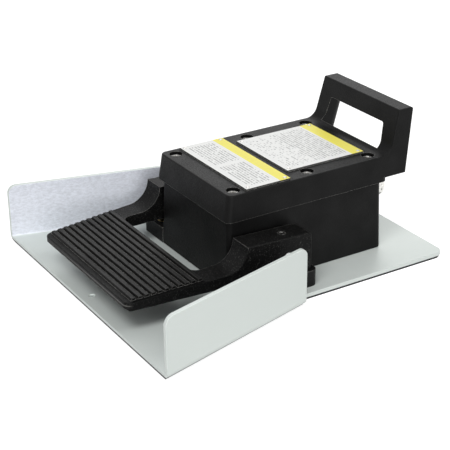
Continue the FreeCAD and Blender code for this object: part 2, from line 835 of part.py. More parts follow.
# Screws
def socket_screw(x, y, seat):
    """A socket head screw standing in its hole, its head seated at a height."""
    head = rod((x, y, seat), "screw_head_diameter", "screw_head_height")
    shank = rod((x, y, f"{seat} - screw_length"), "screw_diameter", "screw_length")
    key = hexagon((x, y, f"{seat} + screw_head_height - screw_socket_depth"),
                  "screw_socket_width", "screw_head_height")
    return cut(fuse(head, shank), key)


def make_lid_screws():
    node(group(*[socket_screw(x, y, "screw_seat") for x, y in screw_places(LID_ROWS)]), "lid_screws")


def make_base_screws():
    screws = []
    sink = "(base_screw_head_diameter - screw_diameter) / 2"
    for x, y in screw_places(CORNER_ROWS):
        head = taper((x, y, "mat_thickness"), "base_screw_head_diameter", "screw_diameter", sink)
        shank = rod((x, y, "mat_thickness"), "screw_diameter", "base_screw_length")
        screws.append(fuse(head, shank))
    node(group(*screws), "base_screws")


# Label plates
def make_label_plate(name):
    body = new_body(f"{name}_label_plate")
    plan = new_sketch(body, "XY_Plane", "label_seat")
    start = f"lid_front + {name}_label_setback"
    rectangle(plan, f"-{name}_label_width / 2", start,
              f"{name}_label_width / 2", f"{start} + {name}_label_length")
    for x, y in rivet_places((name,)):
        circle(plan, x, y, "rivet_diameter + 2 * thread_clearance")
    pad(body, plan, "label_thickness")


def rivet_places(names=("front", "rear")):
    places = []
    for name in names:
        reach = f"({name}_label_width / 2 - rivet_inset)"
        start = f"lid_front + {name}_label_setback"
        for side, hand in SIDES:
            places.append((f"{side} * {reach}", f"{start} + rivet_inset"))
            places.append((f"{side} * {reach}", f"{start} + {name}_label_length - rivet_inset"))
    return places


def make_label_rivets():
    rivets = []
    for x, y in rivet_places():
        head = taper((x, y, "label_face"), "rivet_head_diameter", "rivet_diameter", "rivet_head_height")
        shank = rod((x, y, "label_face - rivet_length"), "rivet_diameter", "rivet_length")
        rivets.append(fuse(head, shank))
    node(group(*rivets), "label_rivets")


# Pedal
RIM_SAMPLES = 5


def rim_test(corner_x, nose_top):
    """A test for the top edges of the arms' and the tread's outer walls."""
    arm_half, tread_half, taper = number("arm_half"), number("tread_half"), number("tread_taper")
    front, bend, bend_x = number("tread_front"), number("tread_corner_radius"), number(corner_x)
    arm_level, lowest = number("pivot_z"), number(nose_top) - TOUCH

    def on_wall(point):
        across = abs(point.x)
        gaps = (across - tread_half - taper * (point.y - front), point.y - front,
                math.hypot(across - bend_x, point.y - front - bend) - bend)
        return min(abs(gap) for gap in gaps) < TOUCH

    def test(edge):
        box = edge.BoundBox
        if is_flat(edge, "x") and abs(abs(box.Center.x) - arm_half) < TOUCH:
            return box.ZMax > arm_level
        if box.ZMin < lowest or runs_along(edge, "z"):
            return False
        return all(on_wall(spot) for spot in edge.discretize(RIM_SAMPLES))

    return test


def make_pedal():
    body = new_body("pedal")
    side = new_sketch(body, "YZ_Plane")
    nose_top = "pivot_z - tread_front_drop"
    outline(side, [
        ("pivot_y + arm_tail_reach", "pivot_z - arm_tail_drop"),
        ("pivot_y + arm_tail_reach", "pivot_z + arm_tail_rise"),
        ("pivot_y - arm_front_reach", "pivot_z + arm_front_rise"),
        ("pivot_y - arm_front_reach - arm_front_lean", "pivot_z - tread_rear_drop + arm_foot_rise"),
        ("tread_rear", "pivot_z - tread_rear_drop"),
        ("tread_front", nose_top),
        ("tread_front", f"{nose_top} - tread_nose_height"),
        ("tread_front + tread_nose_sweep", f"{nose_top} - tread_thickness"),
        ("tread_rear", "pivot_z - arm_front_drop"),
        ("pivot_y - pivot_setback", "pivot_z - arm_front_drop"),
    ])
    pad(body, side, "arm_span", both_ways=True)
    fillet(body, "arm_sweep_radius",
           lambda edge: runs_along(edge, "x")
           and near(middle(edge).y, "pivot_y - arm_front_reach - arm_front_lean"))
    throat = new_sketch(body, "XY_Plane")
    rectangle(throat, "-arm_inside", "tread_rear", "arm_inside", "pivot_y + 2 * arm_tail_reach")
    pocket(body, throat, "pivot_z + 2 * arm_front_rise", reverse=True)
    fillet(body, "throat_radius",
           lambda edge: runs_along(edge, "z") and near(middle(edge).y, "tread_rear")
           and near(abs(middle(edge).x), "arm_inside"))
    fillet(body, "arm_tail_round",
           lambda edge: runs_along(edge, "x") and near(middle(edge).y, "pivot_y + arm_tail_reach"))
    flanks = new_sketch(body, "XY_Plane")
    corner_x = "(tread_half - corner_run)"
    bend_x = "(tread_half + corner_run * sin(tread_flare))"
    bend_y = "tread_front + corner_run * cos(tread_flare)"
    beyond = "tread_front - tread_corner_radius"
    for hand, name in SIDES:
        outline(flanks, [
            (f"{hand} * {bend_x}", bend_y),
            (f"{hand} * {corner_x}", "tread_front"),
            (f"{hand} * {corner_x}", beyond),
            (f"{hand} * (arm_half + tread_inset)", beyond),
            (f"{hand} * (arm_half + tread_inset)", "flare_rear"),
            (f"{hand} * arm_half", "flare_rear"),
        ], bends={0: (f"{hand} * {corner_x}", "tread_front + tread_corner_radius", "tread_corner_radius")})
    pocket(body, flanks, "pivot_z + arm_front_rise", reverse=True)
    fillet(body, "pedal_edge_round", rim_test(corner_x, nose_top))
    for index in range(int(number("ridge_count"))):
        step = f"(ridge_setback + {index} * ridge_pitch)"
        rear = f"tread_rear - {step}"
        flank = "(ridge_width - ridge_crest) / 2"
        deck = f"pivot_z - tread_rear_drop - tread_slope * {step}"
        ridge = new_sketch(body, "YZ_Plane")
        outline(ridge, [
            (rear, f"{deck} - ridge_height"),
            (rear, deck),
            (f"{rear} - {flank}", f"{deck} + ridge_height"),
            (f"{rear} - {flank} - ridge_crest", f"{deck} + ridge_height"),
            (f"{rear} - ridge_width", deck),
            (f"{rear} - ridge_width", f"{deck} - ridge_height"),
        ])
        half = f"tread_half + tread_taper * (tread_length - {step} - ridge_width / 2) - ridge_margin"
        pad(body, ridge, f"2 * ({half})", both_ways=True)
    shaft_hole = new_sketch(body, "YZ_Plane")
    circle(shaft_hole, "pivot_y", "pivot_z", "shaft_diameter + 2 * seat_clearance")
    pocket(body, shaft_hole, "2 * arm_span", both_ways=True)
    screw_holes = new_sketch(body, "XY_Plane", "pivot_z")
    for hand, name in SIDES:
        circle(screw_holes, f"{hand} * arm_middle", "pivot_y", "set_screw_diameter + 2 * seat_clearance")
    pocket(body, screw_holes, "2 * arm_front_rise", reverse=True)
    spring_wells = new_sketch(body, "XY_Plane", "lug_top")
    for hand, name in SIDES:
        circle(spring_wells, f"{hand} * arm_middle", "spring_y", "spring_arm_pocket_diameter")
    pocket(body, spring_wells, "spring_head - lug_top", reverse=True)


def make_cross_shaft():
    length = "arm_span - 2 * shaft_end_recess"
    shaft = rod((f"-({length}) / 2", "pivot_y", "pivot_z"), "shaft_diameter", length, "x")
    node(shaft, "cross_shaft")


def set_screw(x, y, foot, diameter, length):
    """A headless screw standing on the shaft, with a socket in its top."""
    stem = rod((x, y, foot), diameter, length)
    key = hexagon((x, y, f"{foot} + {length} / 2"), "set_screw_socket", length)
    return cut(stem, key)


def make_arm_set_screws():
    foot = "pivot_z + shaft_diameter / 2 + seat_clearance"
    screws = [set_screw(f"{side} * arm_middle", "pivot_y", foot, "set_screw_diameter", "set_screw_length")
              for side, name in SIDES]
    node(group(*screws), "arm_set_screws")


def make_shaft_bush(side, name):
    inner = "(rim_half - housing_wall)"
    length = f"bush_seat - {inner}"
    start = inner if side > 0 else "-bush_seat"
    flange_start = "bush_seat" if side > 0 else "-bush_seat - bush_flange_thickness"
    sleeve = rod((start, "pivot_y", "pivot_z"), "bush_diameter", length, "x")
    flange = rod((flange_start, "pivot_y", "pivot_z"), "bush_flange_diameter",
                 "bush_flange_thickness", "x")
    bore = rod(("-arm_half", "pivot_y", "pivot_z"), "shaft_diameter + 2 * shaft_clearance", "arm_span", "x")
    node(cut(fuse(sleeve, flange), bore), f"shaft_bush_{name}")


# Return springs, one wound tube each
def arc_from(start, heading, end):
    """The arc that leaves a point along a heading and ends at another point."""
    chord = end - start
    inward = chord - heading * chord.dot(heading)
    inward.normalize()
    radius = chord.Length ** 2 / (2 * chord.dot(inward))
    centre = start + inward * radius
    bisector = (start - centre) + (end - centre)
    bisector.normalize()
    return Part.Arc(start, centre + bisector * radius, end).toShape()


def biarc(start, heading, end, last_heading):
    """Two arcs that meet smoothly, between two points with their headings."""
    chord = end - start
    total = heading + last_heading
    spread = 2 * (1 - heading.dot(last_heading))
    along = chord.dot(total)
    reach = (math.sqrt(along ** 2 + spread * chord.dot(chord)) - along) / spread
    joint = (start + end + (heading - last_heading) * reach) * 0.5
    joint_heading = joint - (start + heading * reach)
    joint_heading.normalize()
    return [arc_from(start, heading, joint), arc_from(joint, joint_heading, end)]


QUARTERS = 4
STEPS_PER_TURN = 24


def least_gap(points, wire):
    """The narrowest clear space between turns, measured on points along the wire's middle."""
    apart = STEPS_PER_TURN // 2
    nearest = min(first.distanceToPoint(second)
                  for index, first in enumerate(points) for second in points[index + apart:])
    return nearest - wire


def spring_solid():
    """The wound tube about the Z axis, standing on its lowest point."""
    wire_radius = number("spring_wire / 2")
    coil_radius = number("(spring_diameter - spring_wire) / 2")
    length = number("spring_head - spring_foot - 2 * spring_seat_gap - spring_wire")
    turns = int(number("spring_turns"))
    climb = length / (turns * 2 * math.pi)

    def point(angle):
        height = climb * angle + wire_radius
        return Vector(coil_radius * math.cos(angle), coil_radius * math.sin(angle), height)

    def heading(angle):
        way = Vector(-coil_radius * math.sin(angle), coil_radius * math.cos(angle), climb)
        return way.normalize()

    path = []
    for quarter in range(turns * QUARTERS):
        first = quarter * 2 * math.pi / QUARTERS
        last = (quarter + 1) * 2 * math.pi / QUARTERS
        path += biarc(point(first), heading(first), point(last), heading(last))
    section = Part.Wire(Part.makeCircle(wire_radius, point(0), heading(0)))
    points = [point(2 * math.pi * step / STEPS_PER_TURN) for step in range(turns * STEPS_PER_TURN + 1)]
    print(f"return spring: {turns} turns, least gap {least_gap(points, 2 * wire_radius):.2f} mm")
    return Part.Wire(path).makePipeShell([section], True, False)


def make_return_spring(side, name):
    item = doc.addObject("Part::Feature", "spring")
    item.Shape = spring_solid()
    place(item, (f"{side} * arm_middle", "spring_y", "spring_foot + spring_seat_gap"))
    node(item, f"return_spring_{name}")


def make_rest_pads():
    pads = []
    for side, name in SIDES:
        low = f"{side} * arm_middle - rest_pad_width / 2"
        pads.append(block((low, "pivot_y + arm_tail_reach - rest_pad_length", "lug_top"),
                          ("rest_pad_width", "rest_pad_length", "rest_pad_thickness")))
    node(group(*pads), "rest_pads")


# Geared potentiometer
PRESSURE_ANGLE = math.radians(20)
FLANK_STEPS = 4


def tooth_side(teeth, addendum, dedendum):
    """One flank of a tooth as radius and angle from the tooth's middle, root first."""
    module = number("gear_module")
    pitch = module * teeth / 2
    base = pitch * math.cos(PRESSURE_ANGLE)
    root = pitch - dedendum * module
    tip = pitch + addendum * module
    thickness = math.pi * module / 2 - number("gear_backlash")
    half_angle = thickness / (2 * pitch) + math.tan(PRESSURE_ANGLE) - PRESSURE_ANGLE

    def flank_angle(radius):
        roll = math.acos(min(1.0, base / radius))
        return half_angle - (math.tan(roll) - roll)

    start = max(base, root)
    radii = [start + (tip - start) * step / FLANK_STEPS for step in range(FLANK_STEPS + 1)]
    side = [(radius, flank_angle(radius)) for radius in radii]
    if root < base:
        side.insert(0, (root, side[0][1]))
    return side


def tooth_points(side, turn):
    """Both flanks of one tooth about the X axis, its middle turned from +Y."""
    points = [(radius, turn - angle) for radius, angle in side]
    points += [(radius, turn + angle) for radius, angle in reversed(side)]
    return [Vector(0, radius * math.cos(angle), radius * math.sin(angle)) for radius, angle in points]


def toothed_solid(points, width):
    rim = Part.makePolygon(points + [points[0]])
    return Part.Face(rim).extrude(Vector(width, 0, 0))


SECTOR_ADDENDUM = 0.7
PINION_ADDENDUM = 1.0
DEDENDUM = 1.25
SECTOR_LOWEST_TOOTH = -5
SECTOR_HIGHEST_TOOTH = 3


def make_drive_sector():
    teeth = int(number("sector_teeth"))
    side = tooth_side(teeth, SECTOR_ADDENDUM, DEDENDUM)
    pitch_turn = 2 * math.pi / teeth
    points = []
    for index in range(SECTOR_LOWEST_TOOTH, SECTOR_HIGHEST_TOOTH + 1):
        points += tooth_points(side, index * pitch_turn)
    hub_radius = number("hub_diameter / 2")
    points += [Vector(0, 0, hub_radius), Vector(0, -hub_radius / 2, 0), Vector(0, 0, -hub_radius)]
    blade = doc.addObject("Part::Feature", "sector_blade")
    blade.Shape = toothed_solid(points, number("gear_width"))
    place(blade, ("sector_side", "pivot_y", "pivot_z"))
    hub = rod(("sector_side", "pivot_y", "pivot_z"), "hub_diameter", "hub_length", "x")
    bore = rod(("-arm_half", "pivot_y", "pivot_z"), "shaft_diameter + 2 * seat_clearance", "arm_span", "x")
    screw_x = "sector_side + (gear_width + hub_length) / 2"
    node(cut(fuse(blade, hub), bore, hub_screw_hole(screw_x)), "drive_sector")
    make_hub_screw(screw_x, "sector_set_screw")


def hub_screw_hole(x):
    return rod((x, "pivot_y", "pivot_z"), "hub_screw_diameter + 2 * seat_clearance", "hub_diameter")


def make_hub_screw(x, label):
    foot = "pivot_z + shaft_diameter / 2 + seat_clearance"
    length = "(hub_diameter - shaft_diameter) / 2"
    stem = rod((x, "pivot_y", foot), "hub_screw_diameter", length)
    key = hexagon((x, "pivot_y", f"{foot} + {length} / 2"), "hub_screw_diameter / 2", length)
    node(cut(stem, key), label)


def make_drive_pinion():
    teeth = int(number("pinion_teeth"))
    side = tooth_side(teeth, PINION_ADDENDUM, DEDENDUM)
    pitch_turn = 2 * math.pi / teeth
    half_pitch = pitch_turn / 2
    points = []
    for index in range(teeth):
        points += tooth_points(side, index * pitch_turn + half_pitch)
    wheel = doc.addObject("Part::Feature", "pinion_wheel")
    wheel.Shape = toothed_solid(points, number("gear_width"))
    place(wheel, ("sector_side", "pot_y", "pivot_z"))
    bore = rod(("0", "pot_y", "pivot_z"), "spindle_diameter + 2 * seat_clearance", "pot_face", "x")
    node(cut(wheel, bore), "drive_pinion")


def make_pot():
    spindle = rod(("spindle_start", "pot_y", "pivot_z"), "spindle_diameter",
                  "spindle_end - spindle_start", "x")
    node(spindle, "pot_spindle")
    case = rod(("pot_back", "pot_y", "pivot_z"), "pot_diameter", "pot_depth", "x")
    neck = rod(("pot_back - pot_bush_length", "pot_y", "pivot_z"), "pot_bush_diameter",
               "pot_bush_length", "x")
    well = rod(("0", "pot_y", "pivot_z"), "spindle_diameter + 2 * shaft_clearance",
               "spindle_end + spindle_end_gap", "x")
    node(cut(fuse(case, neck), well), "pot_body")
    nut = hexagon(("pot_face - pot_nut_thickness", "pot_y", "pivot_z"), "pot_nut_width",
                  "pot_nut_thickness", "x")
    nut_bore = rod(("0", "pot_y", "pivot_z"), "pot_bush_diameter + 2 * seat_clearance", "pot_back", "x")
    node(cut(nut, nut_bore), "pot_nut")
    low_y = "pot_y - pot_bracket_width / 2"
    plate = block(("pot_face", low_y, "floor_top"),
                  ("bracket_thickness", "pot_bracket_width", "pivot_z - floor_top + pot_bracket_width / 2"))
    foot = block(("pot_face", low_y, "floor_top"),
                 ("pot_bracket_foot", "pot_bracket_width", "bracket_thickness"))
    neck_hole = rod(("0", "pot_y", "pivot_z"), "pot_bush_diameter + 2 * seat_clearance",
                    "pot_back + pot_bracket_foot", "x")
    holes = [bracket_hole(x, y) for x, y in pot_screw_places()]
    node(cut(fuse(plate, foot), neck_hole, *holes), "pot_bracket")


def pot_screw_places():
    x = "pot_face + pot_bracket_foot - small_screw_head_diameter"
    step = "(pot_bracket_width / 2 - small_screw_head_diameter)"
    return [(x, f"pot_y - {step}"), (x, f"pot_y + {step}")]


def switch_screw_places():
    x = "switch_face - switch_bracket_foot + small_screw_head_diameter"
    step = "(switch_length / 2 - small_screw_head_diameter / 2)"
    return [(x, f"plunger_y - {step}"), (x, f"plunger_y + {step}")]


def bracket_screw_places():
    return pot_screw_places() + switch_screw_places()


def bracket_hole(x, y):
    return rod((x, y, "floor_top"), "small_screw_diameter + 2 * screw_clearance", "2 * bracket_thickness")


def make_bracket_screws():
    screws = []
    seat = "floor_top + bracket_thickness"
    for x, y in bracket_screw_places():
        head = rod((x, y, seat), "small_screw_head_diameter", "small_screw_head_height")
        shank = rod((x, y, "floor_top - small_screw_bite"), "small_screw_diameter",
                    "small_screw_bite + bracket_thickness")
        key = hexagon((x, y, f"{seat} + small_screw_head_height / 2"), "small_screw_diameter / 2",
                      "small_screw_head_height")
        screws.append(cut(fuse(head, shank), key))
    node(group(*screws), "bracket_screws")


# Snap switch
def make_switch_finger():
    low_x = "finger_side - finger_width / 2"
    hub = rod((low_x, "pivot_y", "pivot_z"), "hub_diameter", "finger_width", "x")
    finger = block((low_x, "plunger_y - finger_tip", "pivot_z - finger_drop"),
                   ("finger_width", "finger_reach + finger_tip", "finger_thickness"))
    bore = rod(("-arm_half", "pivot_y", "pivot_z"), "shaft_diameter + 2 * seat_clearance", "arm_span", "x")
    node(cut(fuse(hub, finger), bore, hub_screw_hole("finger_side")), "switch_finger")
    make_hub_screw("finger_side", "finger_set_screw")


def make_switch():
    dome = doc.addObject("Part::Sphere", "dome")
    bind(dome, "Radius", "plunger_diameter / 2")
    place(dome, ("finger_side", "plunger_y", "plunger_top - plunger_diameter / 2"))
    stem = rod(("finger_side", "plunger_y", "switch_top - plunger_sunk"), "plunger_diameter",
               "plunger_sunk + plunger_proud - plunger_diameter / 2")
    node(fuse(dome, stem), "switch_plunger")
    case = block(("switch_face", "plunger_y - switch_length / 2", "switch_foot"),
                 ("switch_width", "switch_length", "switch_height"))
    well = rod(("finger_side", "plunger_y", "switch_top - plunger_well"),
               "plunger_diameter + 2 * shaft_clearance", "plunger_well + plunger_proud")
    node(cut(case, well, *switch_screw_holes()), "switch_body")
    margin = "switch_bracket_margin"
    low_y = f"plunger_y - switch_length / 2 - {margin}"
    wide = f"switch_length + 2 * {margin}"
    plate = block(("switch_face - bracket_thickness", low_y, "floor_top"),
                  ("bracket_thickness", wide, "switch_top - floor_top"))
    foot = block(("switch_face - switch_bracket_foot", low_y, "floor_top"),
                 ("switch_bracket_foot", wide, "bracket_thickness"))
    holes = [bracket_hole(x, y) for x, y in switch_screw_places()]
    node(cut(fuse(plate, foot), *switch_screw_holes(), *holes), "switch_bracket")


def switch_screw_spots():
    return [(f"plunger_y + {side} * switch_screw_spacing / 2", "switch_foot + switch_screw_rise")
            for side, name in SIDES]


def switch_screw_holes():
    return [rod(("switch_face - switch_bracket_foot", y, z), "switch_screw_diameter + 2 * seat_clearance",
                "switch_bracket_foot + 2 * switch_width", "x") for y, z in switch_screw_spots()]


def make_switch_screws():
    screws = []
    near_face = "finger_side + switch_width / 2"
    for y, z in switch_screw_spots():
        head = rod((near_face, y, z), "switch_screw_head_diameter", "switch_screw_head_height", "x")
        shank = rod(("switch_face - bracket_thickness", y, z), "switch_screw_diameter",
                    "switch_width + bracket_thickness", "x")
        screws.append(fuse(head, shank))
    node(group(*screws), "switch_screws")


# Terminal block
def terminal_places():
    count = int(number("terminal_count"))
    return [(f"terminal_side + terminal_length * (({index} + 0.5) / terminal_count - 0.5)", "terminal_y")
            for index in range(count)]


def make_terminals():
    case = block(("terminal_side - terminal_length / 2", "terminal_y - terminal_width / 2", "floor_top"),
                 ("terminal_length", "terminal_width", "terminal_height"))
    wells = [rod((x, y, "terminal_floor"), "terminal_screw_diameter + 2 * screw_clearance", "terminal_well")
             for x, y in terminal_places()]
    node(cut(case, *wells), "terminal_block")
    screws = [rod((x, y, "terminal_floor"), "terminal_screw_diameter", "terminal_screw_length")
              for x, y in terminal_places()]
    node(group(*screws), "terminal_screws")


# Cord gland
def along_gland(start, diameter, length):
    return rod(("gland_side", start, "gland_z"), diameter, length, "y")


def make_gland():
    cap_start = "gland_seat + gland_hex_length"
    neck_end = f"{cap_start} + gland_neck_length"
    thread = along_gland("gland_start", "gland_thread_diameter", "gland_seat - gland_start")
    flange = hexagon(("gland_side", "gland_seat", "gland_z"), "gland_hex_width", "gland_hex_length", "y")
    neck = along_gland(cap_start, "gland_neck_diameter", "gland_neck_length")
    way = along_gland("gland_start", "gland_bore_diameter", f"{neck_end} - gland_start")
    node(cut(fuse(thread, flange, neck), way), "gland_body")
    nut = hexagon(("gland_side", "gland_nut_face - gland_nut_thickness", "gland_z"), "gland_hex_width",
                  "gland_nut_thickness", "y")
    nut_bore = along_gland("gland_start", "gland_thread_diameter + 2 * thread_clearance",
                           "gland_seat - gland_start")
    node(cut(nut, nut_bore), "gland_locknut")
    seal_length = "(gland_cap_length - gland_neck_length) / 2"
    seal = along_gland(neck_end, "gland_neck_diameter", seal_length)
    seal_bore = along_gland(neck_end, "gland_seal_bore", seal_length)
    node(cut(seal, seal_bore), "gland_seal")
    barrel = along_gland(cap_start, "gland_cap_diameter", "gland_cap_length - gland_cap_dome")
    nose_end = "(gland_cap_diameter + gland_bore_diameter) / 2"
    nose = taper(("gland_side", f"{cap_start} + gland_cap_length - gland_cap_dome", "gland_z"),
                 "gland_cap_diameter", nose_end, "gland_cap_dome", "y")
    inside = along_gland(cap_start, "gland_neck_diameter + 2 * thread_clearance",
                         f"gland_neck_length + {seal_length}")
    cord_hole = along_gland(cap_start, "gland_bore_diameter", "gland_cap_length")
    node(cut(fuse(barrel, nose), inside, cord_hole), "gland_cap")


make_base_plate()
make_grip_mat()
make_housing()
make_lid()
make_lid_gasket()
make_lid_screws()
make_base_screws()
make_label_plate("front")
make_label_plate("rear")
make_label_rivets()
make_pedal()
make_cross_shaft()
make_arm_set_screws()
for hand, hand_name in SIDES:
    make_shaft_bush(hand, hand_name)
    make_return_spring(hand, hand_name)
make_rest_pads()
make_drive_sector()
make_drive_pinion()
make_pot()
make_bracket_screws()
make_switch_finger()
make_switch()
make_switch_screws()
make_terminals()
make_gland()
doc.recompute()

for item in doc.Objects:
    if "Invalid" in item.State or "Error" in item.State:
        raise RuntimeError(f"{item.Label} failed: {item.State}")
for item in nodes:
    if item.Shape.isNull() or not item.Shape.isValid():
        raise RuntimeError(f"{item.Label} has no valid shape")

os.makedirs("parts", exist_ok=True)
for item in nodes:
    item.Shape.exportStep(f"parts/{item.Label}.step")
print(len(nodes), "sub-parts")
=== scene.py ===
"""Finishes, fasteners, springs, cord gland and stage for a guarded foot pedal control."""

import math

import bmesh
import bpy
from bpy.props import FloatProperty, FloatVectorProperty, IntProperty, PointerProperty
from mathutils import Matrix, Vector


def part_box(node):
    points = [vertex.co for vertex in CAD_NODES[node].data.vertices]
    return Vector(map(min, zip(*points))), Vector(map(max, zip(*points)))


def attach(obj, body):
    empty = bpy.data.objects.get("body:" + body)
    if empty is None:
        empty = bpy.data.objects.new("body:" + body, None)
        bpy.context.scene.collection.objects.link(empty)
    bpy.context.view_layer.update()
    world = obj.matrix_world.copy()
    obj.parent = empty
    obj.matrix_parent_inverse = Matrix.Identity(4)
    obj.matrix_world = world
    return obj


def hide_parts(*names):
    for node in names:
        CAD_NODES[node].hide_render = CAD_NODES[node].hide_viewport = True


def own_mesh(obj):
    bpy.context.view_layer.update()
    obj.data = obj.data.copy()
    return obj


bl_info = {
    "name": "Foot Pedal Control",
    "version": (1, 0, 0),
    "blender": (4, 5, 0),
    "location": "View3D > Sidebar > Foot Pedal",
    "description": "Dresses the packed foot pedal with its finishes, fasteners, springs and studio stage",
    "category": "Object",
}

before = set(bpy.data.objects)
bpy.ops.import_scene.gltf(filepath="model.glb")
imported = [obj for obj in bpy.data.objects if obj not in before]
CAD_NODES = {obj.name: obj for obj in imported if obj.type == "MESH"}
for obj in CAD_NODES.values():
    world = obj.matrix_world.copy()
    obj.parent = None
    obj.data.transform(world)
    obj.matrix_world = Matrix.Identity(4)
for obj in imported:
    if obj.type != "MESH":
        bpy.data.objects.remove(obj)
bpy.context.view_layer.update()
SIDES = (-1.0, 1.0)
TURNED = (1.0, 6.0, 6.0)

LID_LOW, LID_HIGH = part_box("lid_screws")
RIVET_LOW, RIVET_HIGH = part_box("label_rivets")
SHAFT_LOW, SHAFT_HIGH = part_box("cross_shaft")
SET_LOW, SET_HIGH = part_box("arm_set_screws")
SPRING_LOW, SPRING_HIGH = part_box("return_spring_right")
CAP_LOW, CAP_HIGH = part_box("gland_cap")
FRONT_LABEL_LOW, FRONT_LABEL_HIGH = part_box("front_label_plate")
REAR_LABEL_LOW, REAR_LABEL_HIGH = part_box("rear_label_plate")


def length_value(name, description, default):
    """A length that a user may change."""
    return FloatProperty(name=name, description=description, default=default, min=0.0, unit="LENGTH",
                         precision=5)


def colour_value(name, description, default):
    """A colour that a user may change."""
    return FloatVectorProperty(name=name, description=description, default=default, subtype="COLOR",
                               min=0.0, max=1.0)


def share_value(name, description, default):
    """A share from none to all that a user may change."""
    return FloatProperty(name=name, description=description, default=default, min=0.0, max=1.0,
                         subtype="FACTOR")


def power_value(name, description, default):
    """A lamp's power that a user may change."""
    return FloatProperty(name=name, description=description, default=default, min=0.0, unit="POWER")


class PedalFinishes(bpy.types.PropertyGroup):
    """Colours of the pedal's finishes."""

    paint: colour_value("Paint", "Textured paint of the box, lid and pedal", (0.0035, 0.0035, 0.0035))
    # Edge colour: real wear, made pale enough to serve also as a painted highlight along the edges.
    paint_worn_and_highlight: colour_value("Worn paint", "Paint where edges are rubbed", (0.30, 0.295, 0.28))
    paint_ridge: colour_value("Ridge paint", "Paint on the rubbed tops of the tread's ridges",
                              (0.0065, 0.0065, 0.0063))
    plate: colour_value("Plate", "Satin sheet metal of the floor plate and guards", (0.635, 0.68, 0.655))
    plate_pale: colour_value("Plate bloom", "Paler bloom in the sheet metal", (0.66, 0.705, 0.68))
    # Painted light: the guards' inner faces are coloured paler and bluer than the outer faces, standing for
    # the light that falls on them.
    guard_inside_painted_light: colour_value("Guard inside", "Speckled sheet metal inside the guards", (0.725, 0.75, 0.82))
    # Painted shade: the lower part of the plate's front and rear edges is darkened for the shade line under
    # the plate, on the sheared edge.
    plate_sheared_shade: colour_value("Sheared edge", "Dark torn lower half of the plate's cut edges",
                                (0.04, 0.04, 0.042))
    rubber: colour_value("Rubber", "Floor mat, gasket, rests and seal", (0.014, 0.014, 0.0145))
    label: colour_value("Label", "White face of the label plates", (0.81, 0.815, 0.80))
    label_edge: colour_value("Label edge", "Dark cut edges of the label plates", (0.03, 0.03, 0.03))
    band: colour_value("Label band", "Plain band along a label's rear edge", (0.87, 0.785, 0.125))
    rule: colour_value("Label rules", "Plain broken lines on the labels", (0.10, 0.10, 0.10))
    screw: colour_value("Screws", "Bright plated screws and rivets", (0.58, 0.57, 0.55))
    shaft: colour_value("Shaft", "Ground steel of the shaft and spindle", (0.68, 0.68, 0.67))
    bronze: colour_value("Bushes", "Plain bronze bushes", (0.60, 0.42, 0.20))
    spring: colour_value("Springs", "Yellow plated spring wire", (0.74, 0.56, 0.20))
    gear: colour_value("Sector", "Machined aluminium sector and finger", (0.70, 0.70, 0.71))
    brass: colour_value("Pinion", "Machined brass pinion", (0.75, 0.58, 0.26))
    zinc: colour_value("Brackets", "Zinc plated brackets", (0.66, 0.67, 0.68))
    nickel: colour_value("Gland", "Satin nickel cord gland", (0.80, 0.79, 0.76))
    black_plastic: colour_value("Black mouldings", "Switch and potentiometer cases", (0.022, 0.022, 0.024))
    red_plastic: colour_value("Red moulding", "Switch plunger", (0.52, 0.05, 0.04))
    pale_plastic: colour_value("Pale moulding", "Terminal block", (0.76, 0.74, 0.66))


class PedalHardware(bpy.types.PropertyGroup):
    """Sizes of the fasteners, springs and gland that are modelled here."""

    head_radius: length_value("Screw head radius", "Radius of a lid screw's head", 0.00425)
    head_height: length_value("Screw head height", "Height of a lid screw's head", 0.005)
    shank_radius: length_value("Shank radius", "Radius of a lid screw's shank", 0.00245)
    socket_width: length_value("Socket width", "Width of a lid screw's socket across its flats", 0.004)
    socket_depth: length_value("Socket depth", "Depth of a lid screw's socket", 0.0026)
    knurl_count: IntProperty(name="Knurls", description="Knurls round a lid screw's head", default=36, min=12)
    knurl_depth: length_value("Knurl depth", "Depth of the knurls", 0.00014)
    middle_row: FloatProperty(name="Middle row", description="Place of the middle lid screws along the lid",
                              default=0.0344, unit="LENGTH", precision=5)
    rivet_radius: length_value("Rivet radius", "Radius of a label rivet's head", 0.0015)
    rivet_inset: length_value("Rivet inset", "From a label's edges to its rivets", 0.003)
    set_screw_socket: length_value("Set screw socket", "Width of the set screws' sockets", 0.003)
    wire_radius: length_value("Wire radius", "Radius of the spring wire", 0.0008)
    spring_turns: FloatProperty(name="Spring turns", description="Turns of wire in a return spring",
                                default=7.0, min=3.0)
    spring_keep: share_value("Spring at full press", "Share of its height a spring keeps at full press", 0.86)
    flute_count: IntProperty(name="Gland flutes", description="Finger flutes round the gland's cap",
                             default=14, min=6)
    flute_depth: length_value("Flute depth", "Depth of the gland cap's flutes", 0.00055)
    gland_bore: length_value("Gland bore", "Radius of the hole in the gland's cap", 0.0045)
    front_band: length_value("Front label band", "Depth of the front label's band", 0.009)
    rear_band: length_value("Rear label band", "Depth of the rear label's band", 0.0105)
    rear_sparse: length_value("Rear label sparse lines", "Depth of the rear label's sparse lines", 0.030)


